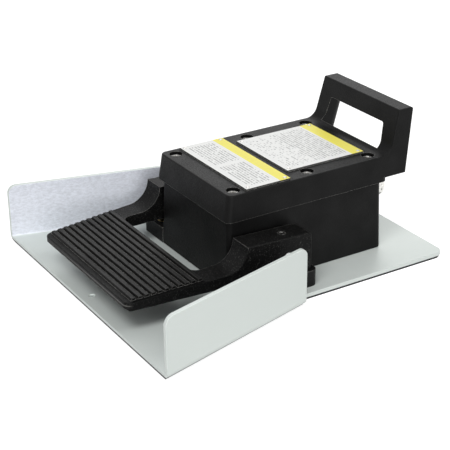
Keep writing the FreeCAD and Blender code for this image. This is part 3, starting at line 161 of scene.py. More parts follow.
class PedalStage(bpy.types.PropertyGroup):
    """Camera, lamps and floor."""

    eye: FloatVectorProperty(name="Eye", description="Place of the camera",
                             default=(0.77208, -0.48931, 0.46293), subtype="XYZ", unit="LENGTH")
    azimuth: FloatProperty(name="Azimuth", description="Camera's turn about the upright axis",
                           default=math.radians(58.30), subtype="ANGLE")
    elevation: FloatProperty(name="Elevation", description="Camera's height angle above the floor",
                             default=math.radians(25.39), subtype="ANGLE")
    roll: FloatProperty(name="Roll", description="Camera's tilt about its own line of sight",
                        default=math.radians(-0.53), subtype="ANGLE")
    lens: FloatProperty(name="Lens", description="Focal length on a 36 mm sensor", default=104.11, min=10.0,
                        unit="CAMERA")
    room_level: share_value("Room level", "Even light from all round", 0.36)
    floor_level: share_value("Floor level", "Glow that brings the lit floor up to white", 0.80)
    high_power: power_value("High softbox", "Power of the broad softbox above the front", 38.0)
    low_power: power_value("Low softbox", "Power of the broad softbox low at the right", 30.0)
    sheen_power: power_value("Sheen softbox", "Power of the softbox at the left rear", 2.8)
    rim_power: power_value("Rim softbox", "Power of the small softbox above the right rear", 3.0)


def put(tree, kind, inputs=None, **settings):
    """Add one shader node, with its settings, plain inputs and links."""
    node = tree.nodes.new(kind)
    for key, value in settings.items():
        setattr(node, key, value)
    for key, value in (inputs or {}).items():
        if isinstance(value, bpy.types.NodeSocket):
            tree.links.new(value, node.inputs[key])
        else:
            node.inputs[key].default_value = value
    return node


def solid(colour):
    """A colour with full cover."""
    return (*colour, 1.0)


def lighter(colour, factor):
    """A colour raised or lowered by one factor."""
    return tuple(min(1.0, channel * factor) for channel in colour)


def start_finish(name):
    """A new material, with its tree, its shader and the piece's own coordinates."""
    material = bpy.data.materials.new(name)
    material.use_nodes = True
    tree = material.node_tree
    shader = tree.nodes["Principled BSDF"]
    place = put(tree, "ShaderNodeTexCoord").outputs["Object"]
    return material, tree, shader, place


def noise(tree, place, scale, detail=2.0, roughness=0.55):
    """Grain of one size, as a value from 0 to 1."""
    settings = {"Vector": place, "Scale": scale, "Detail": detail, "Roughness": roughness}
    return put(tree, "ShaderNodeTexNoise", settings).outputs["Fac"]


def stretch(tree, place, scale):
    """Coordinates drawn out along some axes, for a brushed or rolled grain."""
    return put(tree, "ShaderNodeMapping", {"Vector": place, "Scale": scale}).outputs["Vector"]


def remap(tree, value, low, high, new_low, new_high):
    """Carry a value from one range to another and hold it there."""
    settings = {"Value": value, "From Min": low, "From Max": high, "To Min": new_low, "To Max": new_high}
    return put(tree, "ShaderNodeMapRange", settings).outputs["Result"]


def share(tree, value, low, high):
    """How far a value has gone from one level to another, from 0 to 1."""
    return remap(tree, value, low, high, 0.0, 1.0)


def maths(tree, operation, *values):
    """One sum on one to three values."""
    inputs = dict(enumerate(values))
    return put(tree, "ShaderNodeMath", inputs, operation=operation).outputs["Value"]


def mixed(tree, factor, first, second):
    """Blend two colours."""
    node = put(tree, "ShaderNodeMix", {0: factor}, data_type="RGBA")
    for socket, colour in ((node.inputs[6], first), (node.inputs[7], second)):
        if isinstance(colour, bpy.types.NodeSocket):
            tree.links.new(colour, socket)
        else:
            socket.default_value = solid(colour)
    return node.outputs[2]


def roughen(tree, height, strength, depth, normal=None):
    """Surface relief from a height."""
    settings = {"Height": height, "Strength": strength, "Distance": depth}
    if normal is not None:
        settings["Normal"] = normal
    return put(tree, "ShaderNodeBump", settings).outputs["Normal"]


def axes_of(tree, vector):
    """The three axes of a vector, each as a value."""
    return put(tree, "ShaderNodeSeparateXYZ", {"Vector": vector}).outputs


def own_normal(tree):
    """The direction that a surface faces."""
    return put(tree, "ShaderNodeNewGeometry").outputs["Normal"]


def rounded_edges(tree, radius):
    """Normals eased over sharp edges, and a value that is 1 along them."""
    flat = 0.995
    turned = 0.90
    eased = put(tree, "ShaderNodeBevel", {"Radius": radius}, samples=6).outputs["Normal"]
    both = {0: eased, 1: own_normal(tree)}
    facing = put(tree, "ShaderNodeVectorMath", both, operation="DOT_PRODUCT").outputs["Value"]
    return eased, share(tree, facing, flat, turned)


def painted_casting(name, finishes, ridges=None):
    """Fine textured matte paint with wear and a painted highlight along its edges; a tread adds rubbed
    ridges, painted shade in its grooves, painted glints and a painted highlight line on its nose.
    """
    edge_width = 0.0005
    grit_share = 0.35
    rubbed_gloss = -0.12
    material, tree, shader, place = start_finish(name)
    skin = noise(tree, place, scale=820.0, detail=3.0, roughness=0.6)
    grit = noise(tree, place, scale=2400.0, detail=1.0)
    cloud = noise(tree, place, scale=42.0, detail=4.0)
    eased, edge = rounded_edges(tree, edge_width)
    thin = lighter(finishes.paint, 0.82)
    thick = lighter(finishes.paint, 1.22)
    colour = mixed(tree, share(tree, cloud, 0.32, 0.68), thin, thick)
    # Worn edges, made pale enough to paint in the highlight along them as well.
    worn_and_highlight = maths(tree, "MULTIPLY", edge, remap(tree, skin, 0.36, 0.60, 0.15, 0.9))
    gloss = remap(tree, skin, 0.30, 0.70, 0.38, 0.54)
    shine = remap(tree, cloud, 0.3, 0.7, 0.10, 0.13)
    if ridges is not None:
        rubbed, groove_shade, nose_highlight = ridges(tree, place)
        # Painted shade: the grooves lose most of their reflection, as if in shadow.
        shine = maths(tree, "MULTIPLY", shine, remap(tree, groove_shade, 0.0, 1.0, 0.66, 0.08))
        patchy = maths(tree, "MULTIPLY", rubbed, remap(tree, cloud, 0.25, 0.6, 0.6, 1.0))
        colour = mixed(tree, patchy, colour, finishes.paint_ridge)
        gloss = maths(tree, "MULTIPLY_ADD", patchy, rubbed_gloss, gloss)
        # Pale flecks of bare paint, which also stand as painted glints off the cast texture.
        flecks_and_glints = remap(tree, noise(tree, place, scale=1150.0, detail=1.0), 0.60, 0.74, 0.0, 0.16)
        plain = maths(tree, "SUBTRACT", 1.0, maths(tree, "MAXIMUM", rubbed, groove_shade))
        flecks_and_glints = maths(tree, "MULTIPLY", flecks_and_glints, plain)
        # Painted highlight: a pale line along the nose's lower edge where the rounded nose would catch the
        # light.
        nose_painted_highlight = maths(tree, "MULTIPLY", nose_highlight, remap(tree, skin, 0.36, 0.60, 0.3, 0.6))
        worn_and_highlight = maths(tree, "MULTIPLY", worn_and_highlight, remap(tree, rubbed, 0.0, 1.0, 1.0, 0.3))
        worn_and_highlight = maths(tree, "MAXIMUM", worn_and_highlight, flecks_and_glints)
        worn_and_highlight = maths(tree, "MAXIMUM", worn_and_highlight, nose_painted_highlight)
    colour = mixed(tree, worn_and_highlight, colour, finishes.paint_worn_and_highlight)
    relief = maths(tree, "MULTIPLY_ADD", grit, grit_share, skin)
    tree.links.new(colour, shader.inputs["Base Color"])
    tree.links.new(gloss, shader.inputs["Roughness"])
    tree.links.new(roughen(tree, relief, strength=0.45, depth=0.00035, normal=eased), shader.inputs["Normal"])
    tree.links.new(shine, shader.inputs["Specular IOR Level"])
    return material


def tread_crests(tree, place):
    """Three values: 1 on the tops of the tread's ridges, in the grooves where painted shade dulls them, and
    on a painted highlight line along the nose.
    """
    tread_rear = -0.0737
    tread_front = -0.1292
    tread_rise = 0.0323
    tread_slope = 0.0487
    crest_low = 0.0008
    crest_high = 0.0014
    groove_high = 0.0009
    groove_low = 0.0002
    deck_low = -0.0004
    nose_front = -0.1325
    nose_line = 0.0270
    line_half = 0.0006
    line_core = 0.0001
    line_start = -0.045
    axes = axes_of(tree, place)
    behind = maths(tree, "SUBTRACT", axes["Y"], tread_rear)
    level = maths(tree, "MULTIPLY_ADD", behind, tread_slope, tread_rise)
    proud = maths(tree, "SUBTRACT", axes["Z"], level)
    on_tread = maths(tree, "LESS_THAN", axes["Y"], tread_rear)
    on_crest = maths(tree, "MULTIPLY", share(tree, proud, crest_low, crest_high), on_tread)
    between = maths(tree, "GREATER_THAN", axes["Y"], tread_front)
    on_deck = maths(tree, "MULTIPLY", on_tread, between)
    on_top = maths(tree, "MULTIPLY", on_deck, maths(tree, "GREATER_THAN", proud, deck_low))
    # Painted shade mask for the grooves between the ridges.
    in_shaded_groove = maths(tree, "MULTIPLY", share(tree, proud, groove_high, groove_low), on_top)
    # Painted highlight line across the nose's face, fading out towards the far side.
    off_line = maths(tree, "ABSOLUTE", maths(tree, "SUBTRACT", axes["Z"], nose_line))
    on_nose_highlight = share(tree, off_line, line_half, line_core)
    on_nose_highlight = maths(tree, "MULTIPLY", on_nose_highlight, share(tree, axes["Y"], tread_front, nose_front))
    on_nose_highlight = maths(tree, "MULTIPLY", on_nose_highlight, share(tree, axes["X"], line_start, 0.0))
    return on_crest, in_shaded_groove, on_nose_highlight


def satin_sheet(name, finishes):
    """Rolled sheet metal, smooth and pale, with painted light: paler, bluer and speckled inside the guards,
    painted highlights along the guards' edges, painted light in the fixing holes and a painted shade line
    along the plate's sheared edges.
    """
    edge_width = 0.0006
    sheared_shade_height = 0.0029
    sheared_shade_fade = 0.0004
    fold_height = 0.0105
    plate_end = 0.1365
    hole_place = 0.1285
    hole_reach = 0.0028
    edge_highlight_share = 0.85
    rolled = (1.0, 0.4, 1.0)
    material, tree, shader, place = start_finish(name)
    grain = noise(tree, stretch(tree, place, rolled), scale=620.0, detail=3.0, roughness=0.7)
    cloud = noise(tree, place, scale=30.0, detail=3.0)
    eased, edge = rounded_edges(tree, edge_width)
    axes = axes_of(tree, place)
    facing = axes_of(tree, own_normal(tree))
    outward = maths(tree, "MULTIPLY", maths(tree, "SIGN", axes["X"]), facing["X"])
    # Painted light: inner faces of the guards take a paler, bluer speckled colour for the light falling on
    # them.
    inside = share(tree, outward, -0.35, -0.85)
    outside = share(tree, outward, 0.35, 0.85)
    smooth = mixed(tree, share(tree, cloud, 0.34, 0.66), finishes.plate, finishes.plate_pale)
    dark_speck = lighter(finishes.guard_inside_painted_light, 0.86)
    pale_speck = lighter(finishes.guard_inside_painted_light, 1.1)
    speckled = mixed(tree, share(tree, grain, 0.34, 0.66), dark_speck, pale_speck)
    colour = mixed(tree, outside, smooth, finishes.plate)
    colour = mixed(tree, inside, colour, speckled)
    # Painted highlight: pale lines along the guards' edges above the fold.
    above_fold = maths(tree, "GREATER_THAN", axes["Z"], fold_height)
    cut = maths(tree, "MULTIPLY", edge, maths(tree, "MULTIPLY", above_fold, edge_highlight_share))
    colour = mixed(tree, cut, colour, lighter(finishes.plate_pale, 1.35))
    # Painted shade along the lower part of the plate's sheared front and rear edges.
    along = maths(tree, "ABSOLUTE", axes["Y"])
    sheared_shade = share(tree, axes["Z"], sheared_shade_height, sheared_shade_height - sheared_shade_fade)
    sheared_shade = maths(tree, "MULTIPLY", sheared_shade, maths(tree, "GREATER_THAN", along, plate_end))
    colour = mixed(tree, sheared_shade, colour, finishes.plate_sheared_shade)
    # Painted light: the fixing holes' walls are coloured near white so they read bright though they sit in
    # shade.
    hole_wall_painted_light = maths(tree, "LESS_THAN", maths(tree, "ABSOLUTE", facing["Z"]), 0.5)
    for offset in (axes["X"], maths(tree, "SUBTRACT", along, hole_place)):
        near_hole = maths(tree, "LESS_THAN", maths(tree, "ABSOLUTE", offset), hole_reach)
        hole_wall_painted_light = maths(tree, "MULTIPLY", hole_wall_painted_light, near_hole)
    colour = mixed(tree, hole_wall_painted_light, colour, lighter(finishes.plate_pale, 1.4))
    relief = maths(tree, "MULTIPLY", grain, remap(tree, inside, 0.0, 1.0, 0.12, 1.0))
    tree.links.new(colour, shader.inputs["Base Color"])
    tree.links.new(remap(tree, grain, 0.30, 0.70, 0.54, 0.46), shader.inputs["Roughness"])
    tree.links.new(roughen(tree, relief, strength=0.25, depth=0.00012, normal=eased), shader.inputs["Normal"])
    tree.links.new(remap(tree, inside, 0.0, 1.0, 0.22, 0.05), shader.inputs["Metallic"])
    return material


def black_rubber(name, finishes):
    """Matte rubber with a fine moulded grain."""
    material, tree, shader, place = start_finish(name)
    grain = noise(tree, place, scale=1300.0, detail=3.0, roughness=0.65)
    cloud = noise(tree, place, scale=60.0, detail=3.0)
    colour = mixed(tree, cloud, lighter(finishes.rubber, 0.7), lighter(finishes.rubber, 1.4))
    tree.links.new(colour, shader.inputs["Base Color"])
    tree.links.new(remap(tree, grain, 0.3, 0.7, 0.68, 0.85), shader.inputs["Roughness"])
    tree.links.new(roughen(tree, grain, strength=0.35, depth=0.0002), shader.inputs["Normal"])
    shader.inputs["Specular IOR Level"].default_value = 0.3
    return material


def ruled_label(name, finishes, low, high, band, columns, sparse):
    """White printed plate with a plain band along its rear edge and plain broken lines, sparse in front."""
    rule_pitch = 0.0025
    rule_share = 0.46
    dash_pitch = 0.0010
    dash_gaps = 0.28
    sparse_gaps = 0.70
    margin = 0.005
    band_gap = 0.4 * margin
    gutter = 0.0028
    material, tree, shader, place = start_finish(name)
    film = noise(tree, place, scale=520.0, detail=3.0)
    cloud = noise(tree, place, scale=48.0, detail=3.0)
    axes = axes_of(tree, place)
    band_start = high.y - band
    on_band = maths(tree, "GREATER_THAN", axes["Y"], band_start)
    rows = maths(tree, "DIVIDE", maths(tree, "SUBTRACT", axes["Y"], low.y), rule_pitch)
    on_rule = maths(tree, "LESS_THAN", maths(tree, "FRACT", rows), rule_share)
    beside = maths(tree, "ABSOLUTE", axes["X"])
    dash = maths(tree, "FLOOR", maths(tree, "DIVIDE", axes["X"], dash_pitch))
    row = maths(tree, "FLOOR", rows)
    cell = put(tree, "ShaderNodeCombineXYZ", {"X": dash, "Y": row}).outputs["Vector"]
    chance = put(tree, "ShaderNodeTexWhiteNoise", {"Vector": cell}, noise_dimensions="2D").outputs["Value"]
    in_front = maths(tree, "LESS_THAN", axes["Y"], low.y + sparse)
    gaps = remap(tree, in_front, 0.0, 1.0, dash_gaps, sparse_gaps)
    on_rule = maths(tree, "MULTIPLY", on_rule, maths(tree, "GREATER_THAN", chance, gaps))
    for inside in (
        maths(tree, "LESS_THAN", beside, high.x - margin),
        maths(tree, "GREATER_THAN", axes["Y"], low.y + margin),
        maths(tree, "LESS_THAN", axes["Y"], band_start - band_gap),
    ):
        on_rule = maths(tree, "MULTIPLY", on_rule, inside)
    if columns == 2:
        on_rule = maths(tree, "MULTIPLY", on_rule, maths(tree, "GREATER_THAN", beside, gutter))
    printed = maths(tree, "MULTIPLY", on_rule, remap(tree, film, 0.3, 0.7, 0.40, 0.65))
    paper = mixed(tree, share(tree, cloud, 0.3, 0.7), lighter(finishes.label, 0.96), finishes.label)
    ink = mixed(tree, printed, paper, finishes.rule)
    yellow = mixed(tree, share(tree, film, 0.3, 0.7), lighter(finishes.band, 0.94), finishes.band)
    face = mixed(tree, on_band, ink, yellow)
    on_edge = maths(tree, "LESS_THAN", axes_of(tree, own_normal(tree))["Z"], 0.5)
    tree.links.new(mixed(tree, on_edge, face, finishes.label_edge), shader.inputs["Base Color"])
    tree.links.new(remap(tree, film, 0.3, 0.7, 0.34, 0.46), shader.inputs["Roughness"])
    tree.links.new(roughen(tree, film, strength=0.10, depth=0.0001), shader.inputs["Normal"])
    shader.inputs["Specular IOR Level"].default_value = 0.15
    return material


def machined_metal(name, colour, gloss, grain_scale, drawn=(1.0, 1.0, 1.0)):
    """Bare or plated metal with tool marks, dull in places."""
    dulling = 0.14
    mark_depth = 0.00006
    material, tree, shader, place = start_finish(name)
    marks = noise(tree, stretch(tree, place, drawn), scale=grain_scale, detail=3.0, roughness=0.6)
    cloud = noise(tree, place, scale=210.0, detail=3.0)
    dull = mixed(tree, share(tree, cloud, 0.3, 0.7), lighter(colour, 0.80), lighter(colour, 1.10))
    tree.links.new(dull, shader.inputs["Base Color"])
    tree.links.new(remap(tree, marks, 0.3, 0.7, gloss, gloss + dulling), shader.inputs["Roughness"])
    tree.links.new(roughen(tree, marks, strength=0.25, depth=mark_depth), shader.inputs["Normal"])
    shader.inputs["Metallic"].default_value = 1.0
    return material


def moulded_plastic(name, colour):
    """Moulded plastic with a fine spark texture."""
    material, tree, shader, place = start_finish(name)
    spark = noise(tree, place, scale=1700.0, detail=2.0)
    cloud = noise(tree, place, scale=90.0, detail=2.0)
    shade = mixed(tree, cloud, lighter(colour, 0.88), lighter(colour, 1.12))
    tree.links.new(shade, shader.inputs["Base Color"])
    tree.links.new(remap(tree, spark, 0.3, 0.7, 0.38, 0.52), shader.inputs["Roughness"])
    tree.links.new(roughen(tree, spark, strength=0.2, depth=0.0001), shader.inputs["Normal"])
    return material


def dress(material, *nodes):
    """Give carried-over nodes a finish."""
    for node in nodes:
        for slot in CAD_NODES[node].material_slots:
            slot.material = material


def ring(sides, radius, height):
    """A closed ring of points about the upright axis; radius is a number or a rule on the angle."""
    points = []
    for step in range(sides):
        angle = 2.0 * math.pi * step / sides
        reach = radius(angle) if callable(radius) else radius
        points.append(Vector((reach * math.cos(angle), reach * math.sin(angle), height)))
    return points


def flats(across):
    """Radius rule of a hexagon, from its width across the flats."""
    sector = math.pi / 3.0
    return lambda angle: 0.5 * across / math.cos((angle % sector) - 0.5 * sector)


def ribs(radius, count, depth):
    """Radius rule of a round with shallow flutes."""
    return lambda angle: radius - 0.5 * depth * (1.0 - math.cos(count * angle))


def skin_rings(bm, rings, placing, loop=False):
    """Cover a run of rings with faces, closed at both ends or joined into a loop."""
    levels = [[bm.verts.new(placing @ point) for point in points] for points in rings]
    pairs = list(zip(levels, levels[1:]))
    if loop:
        pairs.append((levels[-1], levels[0]))
    for lower, upper in pairs:
        sides = len(lower)
        for step in range(sides):
            after = (step + 1) % sides
            bm.faces.new((lower[step], lower[after], upper[after], upper[step]))
    if not loop:
        bm.faces.new(reversed(levels[0]))
        bm.faces.new(levels[-1])


def new_piece(name, bm, material, body, nodes, sharp=math.radians(32.0)):
    """Turn a mesh into a piece that rides on a body and stands for its nodes."""
    bmesh.ops.recalc_face_normals(bm, faces=bm.faces)
    for face in bm.faces:
        face.smooth = True
    mesh = bpy.data.meshes.new(name)
    bm.to_mesh(mesh)
    bm.free()
    mesh.set_sharp_from_angle(angle=sharp)
    mesh.materials.append(material)
    piece = bpy.data.objects.new(name, mesh)
    bpy.context.scene.collection.objects.link(piece)
    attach(piece, body)
    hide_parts(*nodes)
    return piece


class PEDAL_OT_paint_castings(bpy.types.Operator):
    """Paint the box, the lid and the pedal"""

    bl_idname = "pedal.paint_castings"
    bl_label = "Paint Castings"

    def execute(self, context):
        finishes = context.scene.pedal_finishes
        dress(painted_casting("textured_black_paint", finishes), "housing", "lid")
        dress(painted_casting("rubbed_black_paint", finishes, tread_crests), "pedal")
        return {"FINISHED"}


class PEDAL_OT_finish_floor_plate(bpy.types.Operator):
    """Give the floor plate and its guards a satin metal finish"""

    bl_idname = "pedal.finish_floor_plate"
    bl_label = "Finish Floor Plate"

    def execute(self, context):
        dress(satin_sheet("satin_floor_plate", context.scene.pedal_finishes), "base_plate")
        return {"FINISHED"}


class PEDAL_OT_lay_rubber(bpy.types.Operator):
    """Finish the floor mat, the lid's gasket, the pedal's rests and the gland's seal in rubber"""

    bl_idname = "pedal.lay_rubber"
    bl_label = "Lay Rubber"

    def execute(self, context):
        rubber = black_rubber("black_rubber", context.scene.pedal_finishes)
        dress(rubber, "grip_mat", "lid_gasket", "rest_pads", "gland_seal")
        return {"FINISHED"}


class PEDAL_OT_print_labels(bpy.types.Operator):
    """Print the two label plates with a plain band and plain ruled lines"""

    bl_idname = "pedal.print_labels"
    bl_label = "Print Labels"

    def execute(self, context):
        finishes = context.scene.pedal_finishes
        hardware = context.scene.pedal_hardware
        dress(ruled_label("front_label_print", finishes, FRONT_LABEL_LOW, FRONT_LABEL_HIGH,
                          hardware.front_band, 2, 0.0), "front_label_plate")
        dress(ruled_label("rear_label_print", finishes, REAR_LABEL_LOW, REAR_LABEL_HIGH,
                          hardware.rear_band, 1, hardware.rear_sparse), "rear_label_plate")
        return {"FINISHED"}


class PEDAL_OT_set_rivets(bpy.types.Operator):
    """Set a domed rivet in each corner of the two label plates"""

    bl_idname = "pedal.set_rivets"
    bl_label = "Set Rivets"

    def execute(self, context):
        finishes = context.scene.pedal_finishes
        hardware = context.scene.pedal_hardware
        rivet_sides = 28
        stem = 0.0008
        chamfer = 0.0003
        face = FRONT_LABEL_HIGH.z
        tip = RIVET_LOW.z - face
        rise = RIVET_HIGH.z - face
        radius = hardware.rivet_radius
        pin = [(stem * 0.7, tip), (stem, tip + chamfer), (stem, 0.0)]
        dome = [(radius, 0.0), (radius, 0.16 * rise), (0.93 * radius, 0.48 * rise),
                (0.72 * radius, 0.78 * rise), (0.42 * radius, 0.95 * rise), (0.15 * radius, rise)]
        rings = [ring(rivet_sides, reach, height) for reach, height in pin + dome]
        bm = bmesh.new()
        for low, high in ((FRONT_LABEL_LOW, FRONT_LABEL_HIGH), (REAR_LABEL_LOW, REAR_LABEL_HIGH)):
            for side in SIDES:
                for along in (low.y + hardware.rivet_inset, high.y - hardware.rivet_inset):
                    across = side * (high.x - hardware.rivet_inset)
                    skin_rings(bm, rings, Matrix.Translation((across, along, face)))
        plated = machined_metal("plated_rivets", finishes.screw, gloss=0.30, grain_scale=2600.0)
        new_piece("label_drive_rivets", bm, plated, "base", ["label_rivets"])
        return {"FINISHED"}


def socket_screw_rings(hardware, shank_length):
    """Rings of a knurled socket head screw from its tip to the floor of its socket, seated at zero."""
    sides = 2 * hardware.knurl_count
    head = hardware.head_radius
    shank = hardware.shank_radius
    top = hardware.head_height
    edge = 0.00045
    knurled = ribs(head, hardware.knurl_count, hardware.knurl_depth)
    socket = flats(hardware.socket_width)
    mouth = 0.58 * hardware.socket_width
    lead_in = 0.00025
    floor = top - hardware.socket_depth
    drill_point = 0.0006
    return [
        ring(sides, shank - edge, -shank_length),
        ring(sides, shank, edge - shank_length),
        ring(sides, shank, 0.0),
        ring(sides, head - 0.5 * edge, 0.0),
        ring(sides, head, 0.5 * edge),
        ring(sides, knurled, edge),
        ring(sides, knurled, top - 1.6 * edge),
        ring(sides, head, top - 1.3 * edge),
        ring(sides, head - 0.35 * edge, top - 0.45 * edge),
        ring(sides, head - edge, top),
        ring(sides, mouth, top),
        ring(sides, socket, top - lead_in),
        ring(sides, socket, floor),
        ring(sides, 0.0004, floor - drill_point),
    ]


class PEDAL_OT_fit_lid_screws(bpy.types.Operator):
    """Fit six knurled socket head screws in the lid"""

    bl_idname = "pedal.fit_lid_screws"
    bl_label = "Fit Lid Screws"

    def execute(self, context):
        finishes = context.scene.pedal_finishes
        hardware = context.scene.pedal_hardware
        row_turn = 0.7
        side_turn = 0.4
        seat = LID_HIGH.z - hardware.head_height
        rings = socket_screw_rings(hardware, seat - LID_LOW.z)
        across = LID_HIGH.x - hardware.head_radius
        rows = (LID_LOW.y + hardware.head_radius, hardware.middle_row, LID_HIGH.y - hardware.head_radius)
        bm = bmesh.new()
        for row, along in enumerate(rows):
            for side in SIDES:
                turn = Matrix.Rotation(row_turn * row + side_turn * side, 4, "Z")
                skin_rings(bm, rings, Matrix.Translation((side * across, along, seat)) @ turn)
        plated = machined_metal("plated_socket_screws", finishes.screw, gloss=0.26, grain_scale=2200.0)
        new_piece("lid_socket_screws", bm, plated, "base", ["lid_screws"])
        return {"FINISHED"}


class PEDAL_OT_fit_shaft(bpy.types.Operator):
    """Fit the cross shaft with centred ends, its set screws and its bushes"""

    bl_idname = "pedal.fit_shaft"
    bl_label = "Fit Shaft"

    def execute(self, context):
        finishes = context.scene.pedal_finishes
        hardware = context.scene.pedal_hardware
        self.turn_shaft(finishes)
        self.drive_set_screws(finishes, hardware)
        bronze = machined_metal("plain_bronze", finishes.bronze, gloss=0.30, grain_scale=1800.0)
        dress(bronze, "shaft_bush_left", "shaft_bush_right")
        return {"FINISHED"}

    def turn_shaft(self, finishes):
        """The shaft, chamfered and centre drilled at both ends."""
        shaft_sides = 64
        radius = 0.5 * (SHAFT_HIGH.z - SHAFT_LOW.z)
        half = SHAFT_HIGH.x
        chamfer = 0.0007
        centre = 0.0014
        half_profile = [(0.0002, half - centre), (centre, half - 0.0002), (1.15 * centre, half),
                        (radius - chamfer, half), (radius, half - chamfer)]
        profile = [(reach, -along) for reach, along in half_profile] + list(reversed(half_profile))
        rings = [ring(shaft_sides, reach, along) for reach, along in profile]
        axis = Vector((0.0, 0.5 * (SHAFT_LOW.y + SHAFT_HIGH.y), 0.5 * (SHAFT_LOW.z + SHAFT_HIGH.z)))
        placing = Matrix.Translation(axis) @ Matrix.Rotation(math.radians(90.0), 4, "Y")
        bm = bmesh.new()
        skin_rings(bm, rings, placing)
        ground = machined_metal("ground_shaft_steel", finishes.shaft, gloss=0.22, grain_scale=1500.0,
                                drawn=TURNED)
        new_piece("ground_cross_shaft", bm, ground, "pedal_lever", ["cross_shaft"])

    def drive_set_screws(self, finishes, hardware):
        """A cup point set screw in each arm."""
        screw_sides = 48
        radius = 0.5 * (SET_HIGH.y - SET_LOW.y)
        length = SET_HIGH.z - SET_LOW.z
        edge = 0.0005
        socket = flats(hardware.set_screw_socket)
        rings = [
            ring(screw_sides, 0.35 * radius, 0.4 * edge),
            ring(screw_sides, 0.6 * radius, 0.0),
            ring(screw_sides, radius, 2.0 * edge),
            ring(screw_sides, radius, length - edge),
            ring(screw_sides, radius - edge, length),
            ring(screw_sides, 0.6 * hardware.set_screw_socket, length),
            ring(screw_sides, socket, length - 0.4 * edge),
            ring(screw_sides, socket, 0.55 * length),
            ring(screw_sides, 0.0003, 0.5 * length),
        ]
        bm = bmesh.new()
        for side in SIDES:
            across = side * (SET_HIGH.x - radius)
            along = 0.5 * (SET_LOW.y + SET_HIGH.y)
            skin_rings(bm, rings, Matrix.Translation((across, along, SET_LOW.z)))
        black = lighter(finishes.screw, 0.25)
        blackened = machined_metal("blackened_set_screws", black, gloss=0.34, grain_scale=2000.0)
        new_piece("arm_cup_point_screws", bm, blackened, "pedal_lever", ["arm_set_screws"])


class PEDAL_OT_wind_springs(bpy.types.Operator):
    """Wind the two return springs, with closed ends ground flat"""

    bl_idname = "pedal.wind_springs"
    bl_label = "Wind Springs"

    def execute(self, context):
        finishes = context.scene.pedal_finishes
        hardware = context.scene.pedal_hardware
        plated = machined_metal("yellow_plated_wire", finishes.spring, gloss=0.28, grain_scale=1600.0)
        for side, node in zip(SIDES, ("return_spring_left", "return_spring_right")):
            self.wind(side, node, hardware, plated)
        return {"FINISHED"}

    def wind(self, side, node, hardware, plated):
        """One spring: the wire swept up a helix that closes at its foot and head."""
        wire_sides = 14
        turn_steps = 44
        wire = hardware.wire_radius
        foot = SPRING_LOW.z
        height = SPRING_HIGH.z - foot
        coil = 0.5 * (SPRING_HIGH.x - SPRING_LOW.x) - wire
        across = side * 0.5 * (SPRING_LOW.x + SPRING_HIGH.x)
        along = 0.5 * (SPRING_LOW.y + SPRING_HIGH.y)
        centre = Vector((across, along, foot))
        upward = Vector((0.0, 0.0, 1.0))
        steps = int(hardware.spring_turns * turn_steps)
        rings = []
        for step in range(steps + 1):
            turns = hardware.spring_turns * step / steps
            angle = 2.0 * math.pi * turns
            outward = Vector((math.cos(angle), math.sin(angle), 0.0))
            rise = self.climb(turns, hardware.spring_turns, wire, height)
            middle = coil * outward + rise * upward
            points = []
            for spoke in range(wire_sides):
                lean = 2.0 * math.pi * spoke / wire_sides
                point = middle + wire * (math.cos(lean) * outward + math.sin(lean) * upward)
                point.z = min(max(point.z, 0.0), height)
                points.append(point)
            rings.append(points)
        bm = bmesh.new()
        skin_rings(bm, rings, Matrix.Translation(centre))
        spring = new_piece(node + "_wire", bm, plated, "base", [node])
        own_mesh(spring)

    def climb(self, turns, total, wire, height):
        """Height of the wire's middle after some turns: slow in the end coils, even between."""
        closed = 0.9
        end_rise = 1.15 * wire
        start = 0.55 * wire
        open_turns = total - 2.0 * closed
        open_rise = height - 2.0 * (start + end_rise)
        if turns < closed:
            return start + end_rise * (turns / closed) ** 2
        if turns > total - closed:
            return height - start - end_rise * ((total - turns) / closed) ** 2
        return start + end_rise + open_rise * (turns - closed) / open_turns


class PEDAL_OT_fit_gland(bpy.types.Operator):
    """Fit the cord gland, with a fluted cap"""

    bl_idname = "pedal.fit_gland"
    bl_label = "Fit Cord Gland"

    def execute(self, context):
        finishes = context.scene.pedal_finishes
        hardware = context.scene.pedal_hardware
        cap_sides = 12 * hardware.flute_count
        radius = 0.5 * (CAP_HIGH.x - CAP_LOW.x)
        length = CAP_HIGH.y - CAP_LOW.y
        dome = 0.005
        bore = hardware.gland_bore
        inside = 0.0076
        wall = 0.0031
        step_fall = 0.0001
        rim = 0.0006
        edge = 0.0005
        fluted = ribs(radius, hardware.flute_count, hardware.flute_depth)
        outer = [(radius - edge, 0.0), (radius, edge), (fluted, 2.2 * edge), (fluted, length - dome - edge),
                 (radius, length - dome)]
        crown = radius - bore - rim
        dome_steps = 7
        for step in range(1, dome_steps + 1):
            angle = 0.5 * math.pi * step / dome_steps
            reach = radius - crown * (1.0 - math.cos(angle))
            along = length - dome * (1.0 - math.sin(angle))
            outer.append((reach, along))
        shelf = length - wall
        inner = [(bore, length - edge), (bore, shelf), (inside, shelf - step_fall), (inside, 0.0)]
        rings = [ring(cap_sides, reach, along) for reach, along in outer + inner]
        axis = Vector((0.5 * (CAP_LOW.x + CAP_HIGH.x), CAP_LOW.y, 0.5 * (CAP_LOW.z + CAP_HIGH.z)))
        placing = Matrix.Translation(axis) @ Matrix.Rotation(math.radians(-90.0), 4, "X")
        bm = bmesh.new()
        skin_rings(bm, rings, placing, loop=True)
        nickel = machined_metal("satin_nickel", finishes.nickel, gloss=0.28, grain_scale=1900.0)
        new_piece("gland_fluted_cap", bm, nickel, "base", ["gland_cap"])
        dress(nickel, "gland_body", "gland_locknut")
        return {"FINISHED"}


